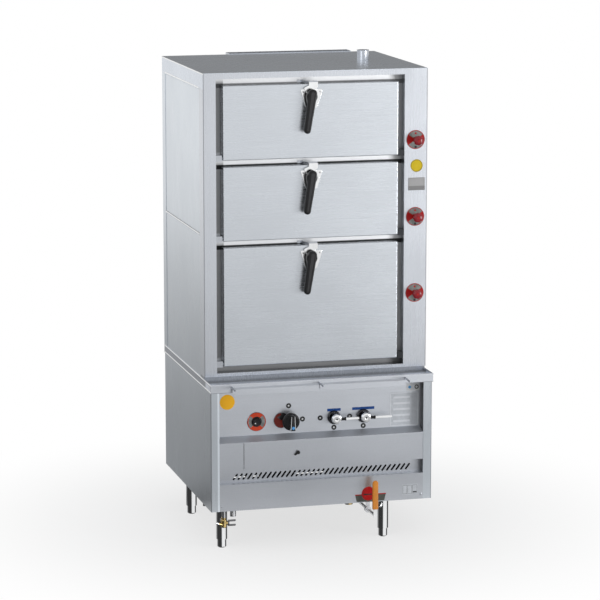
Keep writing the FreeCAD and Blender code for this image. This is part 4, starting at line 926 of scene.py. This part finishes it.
class STEAMER_OT_build_steam_knobs(bpy.types.Operator):
    """Build the dark red steam knobs with finger hollows and a turned stem"""
    bl_idname = "steamer.build_steam_knobs"
    bl_label = "Steam Knobs"

    def execute(self, context):
        sizes = context.scene.steamer_controls
        for deck in DECKS:
            axis = axis_of("steam_turn_" + deck)
            low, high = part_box("steam_knob_" + deck)
            front, back = low.y, low.y + 0.024
            radius = (high.x - low.x) / 2
            centre = (axis.x, axis.z)

            def hollow(angle, y):
                """Depth of the finger hollows, which run out towards both faces."""
                wave = max(0.0, math.cos(sizes.knob_flutes * angle)) ** 2
                share = min(1.0, max(0.0, (y - front) / 0.004)) * min(1.0, max(0.0, (back - y) / 0.004))
                return sizes.knob_flute_depth * wave * share

            s = Shape()
            s.turned(centre, [
                (0.0003, back + 0.0004), (0.011, back), (0.0155, back - 0.0012),
                (radius - 0.001, back - 0.0045), (radius, back - 0.008), (radius, front + 0.008),
                (radius - 0.0007, front + 0.0052), (radius - 0.0026, front + 0.0028),
                (radius - 0.0058, front + 0.0012), (radius - 0.0095, front + 0.0004),
                (0.0062, front + 0.0002), (0.0052, front + 0.0010), (0.0003, front + 0.0011),
            ], 84, scallop=hollow)
            s.index = 1
            s.turned(centre, [(0.0046, front + 0.0011), (0.0042, front + 0.0005), (0.0012, front + 0.0003)],
                     24, first=False)
            s.index = 2
            s.turned(centre, [(0.005, high.y), (0.005, STILE_Y - 0.004), (0.0085, STILE_Y - 0.0035),
                              (0.0085, STILE_Y - 0.0095), (0.0062, STILE_Y - 0.0105),
                              (0.0062, back - 0.001)], 30)
            s.piece("round_knob_" + deck, "steam_control_" + deck, ["red", "ring red", "brass"],
                    ["steam_knob_" + deck])
        return {"FINISHED"}


class STEAMER_OT_build_igniter(bpy.types.Operator):
    """Build the igniter bezel with its coloured quarters and the black button"""
    bl_idname = "steamer.build_igniter"
    bl_label = "Igniter"

    def execute(self, context):
        low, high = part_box("igniter_button")
        x, z = centre = ((low.x + high.x) / 2, (low.z + high.z) / 2)
        radius = (high.x - low.x) / 2
        front = PANEL_Y - 0.003
        outer, hole = 0.038, radius + 0.0005
        rise = context.scene.steamer_controls.print_height
        s = Shape()
        s.turned(centre, [(hole, PANEL_Y), (outer, PANEL_Y), (outer, front + 0.0012), (outer - 0.0014, front),
                          (hole + 0.0008, front), (hole, front + 0.0008)], 72, first=False, last=False)
        s.index = 1
        s.sector(centre, outer - 0.0045, outer - 0.0015, 0, 360, front, rise, 72)
        for index, starts, height in ((1, (45, 225), rise), (2, (-45, 135), rise * 0.6)):
            s.index = index
            for start in starts:
                s.sector(centre, hole + 0.003, outer - 0.0044, start, start + 90, front, height)
        s.index = 3
        s.sector(centre, hole + 0.0008, hole + 0.0031, 0, 360, front, rise * 1.4, 48)
        s.piece("igniter_bezel", "cabinet",
                ["dark metal", "bezel red", "dial grey", "print dark"], ["dial_plates"])
        s = Shape()
        tip = low.y
        s.turned(centre, [(radius, high.y), (radius, front - 0.004), (radius - 0.0016, front - 0.0052),
                          (radius - 0.0016, tip + 0.0035), (radius - 0.0024, tip + 0.0012),
                          (radius - 0.0044, tip), (radius - 0.0068, tip + 0.0008), (0.003, tip + 0.0016)], 60)
        s.index = 1
        s.turned((x - 0.008, z - 0.004), [(0.0026, tip + 0.002), (0.0026, tip + 0.0004), (0.0012, tip)], 16,
                 first=False)
        s.piece("push_button", "igniter", ["black", "screw"], ["igniter_button"])
        return {"FINISHED"}


class STEAMER_OT_build_gas_knob(bpy.types.Operator):
    """Build the gas knob with its plated ridge and dot, and the dark red plate beside its axis, its darkness
    a painted shadow of the knob
    """
    bl_idname = "steamer.build_gas_knob"
    bl_label = "Gas Knob"

    def execute(self, context):
        sizes = context.scene.steamer_controls
        low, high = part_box("gas_knob")
        x, _, z = axis_of("gas_turn")
        centre = (x, z)
        radius = (high.x - low.x) / 2
        front = PANEL_Y - 0.003
        plate = (x - sizes.gas_plate_shift, z)
        s = Shape()
        # Painted shadow of the knob: the plate's red is a darkened copy of the bezel red, and its dark top is
        # partly the plate's grey quarter and partly painted shadow.
        s.disc(plate, 0.031, PANEL_Y, front, 0.0012, 0.0012, 72)
        s.index = 1
        s.sector(plate, 0.0, 0.0296, -215, 35, front, sizes.print_height, 60)
        s.sector(plate, 0.020, 0.0296, 95, 145, front, sizes.print_height, 12)
        s.piece("gas_plate", "cabinet", ["dark metal", "gas red in painted shadow"], ["dial_plates"])
        tip, hub = low.y, PANEL_Y - 0.007
        mid = tip + GRIP_DEPTH
        end = mid + SKIRT_DEPTH
        s = Shape()
        s.turned(centre, [
            (0.003, hub), (0.0125, hub), (0.014, hub - 0.0015), (0.014, end + 0.002), (0.0165, end),
            (radius - 0.003, end), (radius - 0.0008, end - 0.0012), (radius, end - 0.004),
            (radius, mid + 0.006), (radius - 0.0012, mid + 0.0025), (radius - 0.004, mid + 0.0004),
            (radius - 0.0075, mid), (radius - 0.0085, mid + 0.0012), (0.004, mid + 0.0016),
        ], 84, scallop=lambda a, y: 0.0006 * (0.5 + 0.5 * math.cos(36 * a)) if y > mid + 0.005 else 0.0)
        w, h = GRIP_HALF_WIDTH, radius - 0.005

        def leaned(box, corner, steps):
            """Outline of a box with round corners, narrowed upwards."""
            return [(x + (a - x) * (1.0 - sizes.grip_taper * (b - z) / h), b)
                    for a, b in rounded_rectangle(box, corner, steps)]

        grip = leaned(box_round(x, z, w, h), 0.0035, 4)
        rows = ((0.0, mid + 0.002), (0.0, tip + 0.005), (0.0006, tip + 0.0022), (0.0018, tip + 0.0006),
                (0.0034, tip))
        s.layers([[(a, y, b) for a, b in inset(grip, drawn_in)] for drawn_in, y in rows], first=False)
        s.index = 1
        for side in (-1, 1):
            edge = x + side * (w + 0.0002)
            a, b = sorted((edge - side * 0.0022, edge))
            s.sheet(leaned((a, b, z - h + 0.004, z + h - 0.003), 0.0006, 2), mid + 0.001, tip + 0.0004)
        s.sheet(leaned((x - w, x + w, z + h - 0.0075, z + h - 0.0035), 0.0015, 3), mid + 0.001, tip + 0.0006)
        s.index = 2
        dot = sizes.grip_dot
        s.turned((x, z - 0.6 * h), [(dot, tip + 0.0008), (dot, tip - 0.0004), (dot * 0.7, tip - 0.0008)], 28,
                 first=False)
        s.index = 3
        s.turned(centre, [(0.004, high.y), (0.004, PANEL_Y - 0.009)], 24, last=False)
        s.piece("ridge_knob", "gas_control", ["black", "bright", "dot blue", "brass"],
                ["gas_knob"])
        return {"FINISHED"}


class STEAMER_OT_build_taps(bpy.types.Operator):
    """Build the plated tap levers with black sleeves"""
    bl_idname = "steamer.build_taps"
    bl_label = "Taps"

    def execute(self, context):
        for side in ("left", "right"):
            node = "tap_lever_" + side
            low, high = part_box(node)
            x, _, z = axis_of("tap_turn_" + side)
            centre = (x, z)
            tip = low.y
            radius = high.z - z
            s = Shape()
            s.turned(centre, [(radius - 0.002, tip + 0.012), (radius, tip + 0.0108), (radius, tip + 0.003),
                              (radius - 0.0012, tip + 0.001), (radius - 0.0032, tip), (0.006, tip),
                              (0.0045, tip + 0.0006)], 60)
            s.turned(centre, [(0.004, high.y), (0.004, tip + 0.018), (0.0085, tip + 0.0175),
                              (0.0085, tip + 0.0115)], 32)
            start = x + radius - 0.003
            end = start + SLEEVE_LENGTH
            mid = tip + 0.006
            s.index = 2
            s.sheet([(end - 0.002, z - 0.0045), (high.x - 0.0035, z - 0.0045), (high.x, z - 0.002),
                     (high.x, z + 0.002), (high.x - 0.0035, z + 0.0045), (end - 0.002, z + 0.0045)],
                    mid + 0.002, mid - 0.002, 0.0006)
            s.index = 1
            s.turned(centre, [(0.0036, tip + 0.0007), (0.0030, tip + 0.0001), (0.0008, tip)], 20, first=False)
            turns = [2 * math.pi * i / 24 for i in range(24)]
            s.layers([[(px, mid + 0.64 * r * math.sin(a), z + r * math.cos(a)) for a in turns]
                      for px, r in ((start, 0.0075), (start + 0.004, 0.0062), (end - 0.006, 0.0058),
                                    (end - 0.002, 0.0072), (end, 0.0068))])
            s.piece("lever_tap_" + side, "tap_" + side, ["bright", "black", "lever bar"],
                    [node])
        return {"FINISHED"}


class STEAMER_OT_build_marks(bpy.types.Operator):
    """Build the ring marks round the controls and the plain blue strips"""
    bl_idname = "steamer.build_marks"
    bl_label = "Ring Marks and Strips"

    def execute(self, context):
        gas = axis_of("gas_turn")
        taps = [axis_of("tap_turn_" + side) for side in ("left", "right")]
        places = [(gas.x, gas.z + MARK_REACH), (gas.x + MARK_REACH, gas.z)]
        for tap in taps:
            places += [(tap.x - MARK_REACH, tap.z), (tap.x, tap.z - MARK_DROP)]
        front = PANEL_Y - 0.0007
        s = Shape()
        for centre in places:
            s.index = 0
            s.sector(centre, 0.0034, 0.0104, 0, 360, PANEL_Y, 0.0007, 36)
            s.index = 1
            s.turned(centre, [(0.0035, PANEL_Y), (0.0035, PANEL_Y - 0.00042)], 24, first=False)
        s.index = 2
        for tap, half in zip(taps, STRIP_HALF_WIDTHS):
            z = tap.z + STRIP_RISE
            s.label((tap.x - half, tap.x + half, z - 0.005, z + 0.006), 0.0006, PANEL_Y, front, 0.0002, 3)
        s.plate("ring_marks", "print dark", "print white", "blue")
        return {"FINISHED"}


class STEAMER_OT_build_plates(bpy.types.Operator):
    """Build the bare data plate, the plain spot, the plain disc and the plain film labels"""
    bl_idname = "steamer.build_plates"
    bl_label = "Plain Plates"

    def execute(self, context):
        x, y, z = plate_place()
        face = y - 0.0008
        s = Shape()
        s.label(box_round(x, z, 0.034, 0.025), 0.002, y, face, 0.0002)
        s.index = 1
        s.outline(box_round(x, z, 0.0315, 0.0225), 0.0012, 0.0006, face, y - 0.00095)
        s.index = 2
        r = context.scene.steamer_controls.rivet_radius
        for dx in (-0.0285, 0.0285):
            for dz in (-0.0195, 0.0195):
                s.turned((x + dx, z + dz), [(r, face), (r, y - 0.0011), (r * 0.5, y - 0.0016)], 16,
                         first=False)
        s.plate("data_plate", "data sheet", "print grey", "plate")
        high, low = axis_of("steam_turn_top").z, axis_of("steam_turn_middle").z
        spot = (x, low + SPOT_SHARE * (high - low))
        s = Shape()
        s.disc(spot, 0.025, y, face, 0.0003, 0.0003)
        s.index = 1
        s.sector(spot, 0.0222, 0.0236, 0, 360, face, 0.0001, 64)
        s.plate("round_spot", "yellow", "print dark")
        s = Shape()
        s.disc(DISC_PLACE, 0.030, PANEL_Y, PANEL_Y - 0.0008, 0.0002, 0.0003, 72)
        s.plate("plain_disc", "orange disc")
        s = Shape()
        face, ink = PANEL_Y - 0.0005, PANEL_Y - 0.00062
        s.label(FILM_SHEET, 0.002, PANEL_Y, face, 0.0001)
        s.index = 1
        s.outline(FILM_LINE, 0.002, 0.003, face, ink)
        for level in FILM_BARS:
            s.label((0.304, 0.372, level, level + 0.008), 0.001, face, ink)
        s.plate("film_sheet", "film", "film line")
        s = Shape()
        face, ink = PANEL_Y - 0.0006, PANEL_Y - 0.0008
        for box in SMALL_FILMS:
            s.label(box, 0.001, PANEL_Y, face, 0.0001)
        s.index = 1
        s.turned(FILM_DOT, [(0.0062, face), (0.0062, ink)], 28, first=False)
        s.index = 2
        s.sector(FILM_RING, 0.005, 0.0085, 0, 360, face, 0.0002, 32)
        s.plate("small_films", "print white", "film blue", "print dark")
        s = Shape()
        face = BASE_Y - 0.0006
        s.label(LOW_FILM, 0.001, BASE_Y, face, 0.0001)
        s.index = 1
        for a, b in LOW_FILM_FRAMES:
            s.outline((a, b, 0.180, 0.2145), 0.0006, 0.0008, face, BASE_Y - 0.00072)
        s.label(LOW_FILM_BAR, 0.0004, face, BASE_Y - 0.00075)
        s.plate("low_film", "film", "print dark")
        return {"FINISHED"}


class STEAMER_OT_build_position_plate(bpy.types.Operator):
    """Build the plate behind the drain handle: a dark band with a red disc"""
    bl_idname = "steamer.build_position_plate"
    bl_label = "Position Plate"

    def execute(self, context):
        drain = axis_of("drain_turn")
        y, taper = BASE_Y, 0.007
        x0, x1 = drain.x - 0.069, drain.x + 0.058
        z0, z1 = BASE_Z + 0.003, BASE_Z + 0.033
        s = Shape()
        s.sheet([(x0 + taper, z0), (x1 - taper, z0), (x1, z1), (x0, z1)], y, y - 0.0006, 0.0002)
        s.index = 1
        x, z = disc = (drain.x - 0.014, BASE_Z + 0.035)
        s.disc(disc, 0.028, y, y - 0.0009, 0.0002, 0.0002)
        s.sheet(rectangle(x0, x1, z1 - 0.0035, z1), y, y - 0.0007)
        s.index = 2
        s.label((x - 0.020, x + 0.014, z - 0.0055, z - 0.0005), 0.001, y, y - 0.0011, 0.0001)
        s.plate("position_plate", "band grey", "ring red", "print dark")
        return {"FINISHED"}


class STEAMER_OT_build_drain_grip(bpy.types.Operator):
    """Build the soft orange sleeve of the drain handle"""
    bl_idname = "steamer.build_drain_grip"
    bl_label = "Drain Grip"

    def execute(self, context):
        low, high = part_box("drain_grip")
        x, y = (low.x + high.x) / 2, (low.y + high.y) / 2
        wide, deep = (high.x - low.x) / 2, (high.y - low.y) / 2
        rows = [(low.z + rise, share) for rise, share in DRAIN_GRIP]
        for i in range(1, 9):
            a = math.pi / 2 * i / 8
            rows.append((high.z - wide + wide * math.sin(a), max(0.06, math.cos(a)) * 0.995))
        turns = [2 * math.pi * i / 32 for i in range(32)]
        s = Shape()
        s.layers([[(x + wide * share * eased(math.cos(a), 0.75),
                    y + deep * min(1.0, share + 0.25) * eased(math.sin(a), 0.6), z) for a in turns]
                  for z, share in rows])
        s.piece("soft_sleeve", "drain_lever", ["orange sleeve"], ["drain_grip"], 50.0)
        return {"FINISHED"}


def eased(value, power):
    """A signed power, which squares a circle up as the power falls."""
    return math.copysign(abs(value) ** power, value)


class STEAMER_OT_set_stage(bpy.types.Operator):
    """Set the camera, the soft lights, the pale floor and the surroundings"""
    bl_idname = "steamer.set_stage"
    bl_label = "Stage"

    def execute(self, context):
        scene = context.scene
        stage = scene.steamer_stage
        lens = bpy.data.cameras.new("camera")
        camera = bpy.data.objects.new("camera", lens)
        scene.collection.objects.link(camera)
        scene.camera = camera
        lens.lens, lens.sensor_width = stage.lens, 36.0
        lens.clip_end = 200.0
        az, el = stage.azimuth, stage.elevation
        back = Vector((math.sin(az) * math.cos(el), -math.cos(az) * math.cos(el), math.sin(el)))
        right = Vector((math.cos(az), math.sin(az), 0))
        turn = Matrix((right, back.cross(right), back)).transposed().to_4x4()
        camera.matrix_world = Matrix.Translation(Vector(stage.place)) @ turn
        scene.view_settings.view_transform = "Standard"
        add_lamp("key", stage.key_power, (2.6, 1.75), (5.0, -5.3, 0.95), (0.0, 0.0, 0.95))
        add_lamp("fill", stage.fill_power, (2.5, 2.5), (-3.6, -3.4, 2.3), (0.0, 0.0, 0.9))
        add_floor()
        add_surroundings(stage.ambient)
        return {"FINISHED"}


def add_lamp(name, power, size, place, target):
    """A soft rectangular lamp aimed at a point."""
    data = bpy.data.lights.new(name, "AREA")
    data.shape = "RECTANGLE"
    data.size, data.size_y = size
    data.energy = power
    lamp = bpy.data.objects.new(name, data)
    bpy.context.scene.collection.objects.link(lamp)
    lamp.location = place
    lamp.rotation_mode = "QUATERNION"
    lamp.rotation_quaternion = (Vector(target) - Vector(place)).to_track_quat("-Z", "Y")


def add_floor():
    """A wide pale floor that keeps the shadow, turns white further off, and mirrors dark at the left."""
    side = 90.0
    data = bpy.data.meshes.new("floor")
    data.from_pydata([(x, y, 0) for x, y in rectangle(-side, side, -side, side)], [], [(0, 1, 2, 3)])
    floor = bpy.data.objects.new("floor", data)
    bpy.context.scene.collection.objects.link(floor)
    f = Finish("pale floor", roughness=0.85, specular_ior_level=0.1, base_color=(0.86, 0.865, 0.87, 1))
    far = f.add("ShaderNodeVectorMath", {0: f.place}, operation="LENGTH").outputs["Value"]
    path = f.add("ShaderNodeLightPath").outputs
    mirror = f.math("MAXIMUM", path["Is Glossy Ray"], path["Is Transmission Ray"])
    seen = f.times(path["Is Camera Ray"], f.spread(far, 0.3, 1.7, 0.7, 1.0, "SMOOTHSTEP"))
    bright = f.math("MAXIMUM", seen, f.times(mirror, f.spread(far, 2.3, 9.4)))
    shown = f.mixed(bright, f.shader.outputs[0], f.glow(1.0))
    split = f.add("ShaderNodeSeparateXYZ", {0: f.place}).outputs
    heading = f.math("ARCTAN2", split["X"], f.times(split["Y"], -1.0))
    left = f.times(f.spread(heading, math.radians(-140), math.radians(-115)),
                   f.spread(heading, math.radians(-45), math.radians(-22), 0.9, 0.0))
    dimmed = f.mixed(f.times(mirror, left), shown, f.glow(0.03))
    near = f.times(mirror, f.zone(((-1.2, 1.2, 0.05), (-0.98, 0.3, 0.03), OPEN)))
    clear = f.add("ShaderNodeBsdfTransparent").outputs[0]
    f.feed(f.out.inputs[0], f.mixed(near, dimmed, clear))
    data.materials.append(f.material)


def add_surroundings(ambient):
    """White surroundings as the eye and the metal see them, and an even soft light for the rest."""
    world = bpy.data.worlds.new("surroundings")
    bpy.context.scene.world = world
    world.use_nodes = True
    world.node_tree.nodes.clear()
    t = Tree(world.node_tree)
    path = t.add("ShaderNodeLightPath").outputs
    way = t.add("ShaderNodeTexCoord").outputs["Generated"]
    split = t.add("ShaderNodeSeparateXYZ", {0: way}).outputs
    behind = t.times(t.spread(split["Y"], -0.2, 0.75, 0.0, 1.0, "SMOOTHSTEP"),
                     t.spread(split["X"], -0.22, 0.02, 0.0, 1.0, "SMOOTHSTEP"))
    above = t.spread(behind, 0.0, 1.0, 1.0, 0.3)
    facing = t.math("SUBTRACT", t.times(split["X"], 0.574), t.times(split["Y"], 0.819))
    below = t.plus(t.spread(facing, 0.6, 0.8, 0.04, 0.92, "SMOOTHSTEP"),
                   t.spread(split["Y"], 0.3, 0.9, 0.0, 0.45, "SMOOTHSTEP"))

    def either(share, a, b):
        """The first value where the share is one, and the second where it is nothing."""
        return t.plus(t.times(share, a), t.times(t.math("SUBTRACT", 1.0, share), b))

    mirrored = either(t.math("GREATER_THAN", split["Z"], 0.0), above, below)
    mirror = t.math("MAXIMUM", path["Is Glossy Ray"], path["Is Transmission Ray"])
    level = either(path["Is Camera Ray"], 1.0, either(mirror, mirrored, ambient))
    shade = t.add("ShaderNodeBackground", {"Color": (1, 1, 1, 1), "Strength": level}).outputs[0]
    t.add("ShaderNodeOutputWorld", {0: shade})


OPERATORS = (
    STEAMER_OT_set_stage, STEAMER_OT_mix_finishes, STEAMER_OT_dress_sheets, STEAMER_OT_dress_inside,
    STEAMER_OT_dress_fittings, STEAMER_OT_build_edge_beads, STEAMER_OT_build_levers,
    STEAMER_OT_build_plate_screws, STEAMER_OT_build_dials, STEAMER_OT_build_steam_knobs,
    STEAMER_OT_build_igniter, STEAMER_OT_build_gas_knob, STEAMER_OT_build_taps, STEAMER_OT_build_marks,
    STEAMER_OT_build_plates, STEAMER_OT_build_position_plate, STEAMER_OT_build_drain_grip,
)


class STEAMER_PT_sidebar(bpy.types.Panel):
    """Sizes, colours and steps of the steamer"""
    bl_idname = "STEAMER_PT_sidebar"
    bl_label = "Steamer"
    bl_space_type = "VIEW_3D"
    bl_region_type = "UI"
    bl_category = "Steamer"

    def draw(self, context):
        layout = self.layout
        scene = context.scene
        for group in (scene.steamer_finishes, scene.steamer_controls, scene.steamer_stage):
            column = layout.column(align=True)
            for name in group.bl_rna.properties.keys():
                if name not in {"rna_type", "name"}:
                    column.prop(group, name)
        for operator in OPERATORS:
            layout.operator(operator.bl_idname)


CLASSES = (SteamerFinishes, SteamerControls, SteamerStage) + OPERATORS + (STEAMER_PT_sidebar,)


def register():
    for cls in CLASSES:
        bpy.utils.register_class(cls)
    bpy.types.Scene.steamer_finishes = PointerProperty(type=SteamerFinishes)
    bpy.types.Scene.steamer_controls = PointerProperty(type=SteamerControls)
    bpy.types.Scene.steamer_stage = PointerProperty(type=SteamerStage)


def unregister():
    del bpy.types.Scene.steamer_stage
    del bpy.types.Scene.steamer_controls
    del bpy.types.Scene.steamer_finishes
    for cls in reversed(CLASSES):
        bpy.utils.unregister_class(cls)


def main():
    """Registers the classes and runs every step in order."""
    register()
    for operator in OPERATORS:
        group, name = operator.bl_idname.split(".")
        getattr(getattr(bpy.ops, group), name)()


if __name__ == "__main__":
    main()
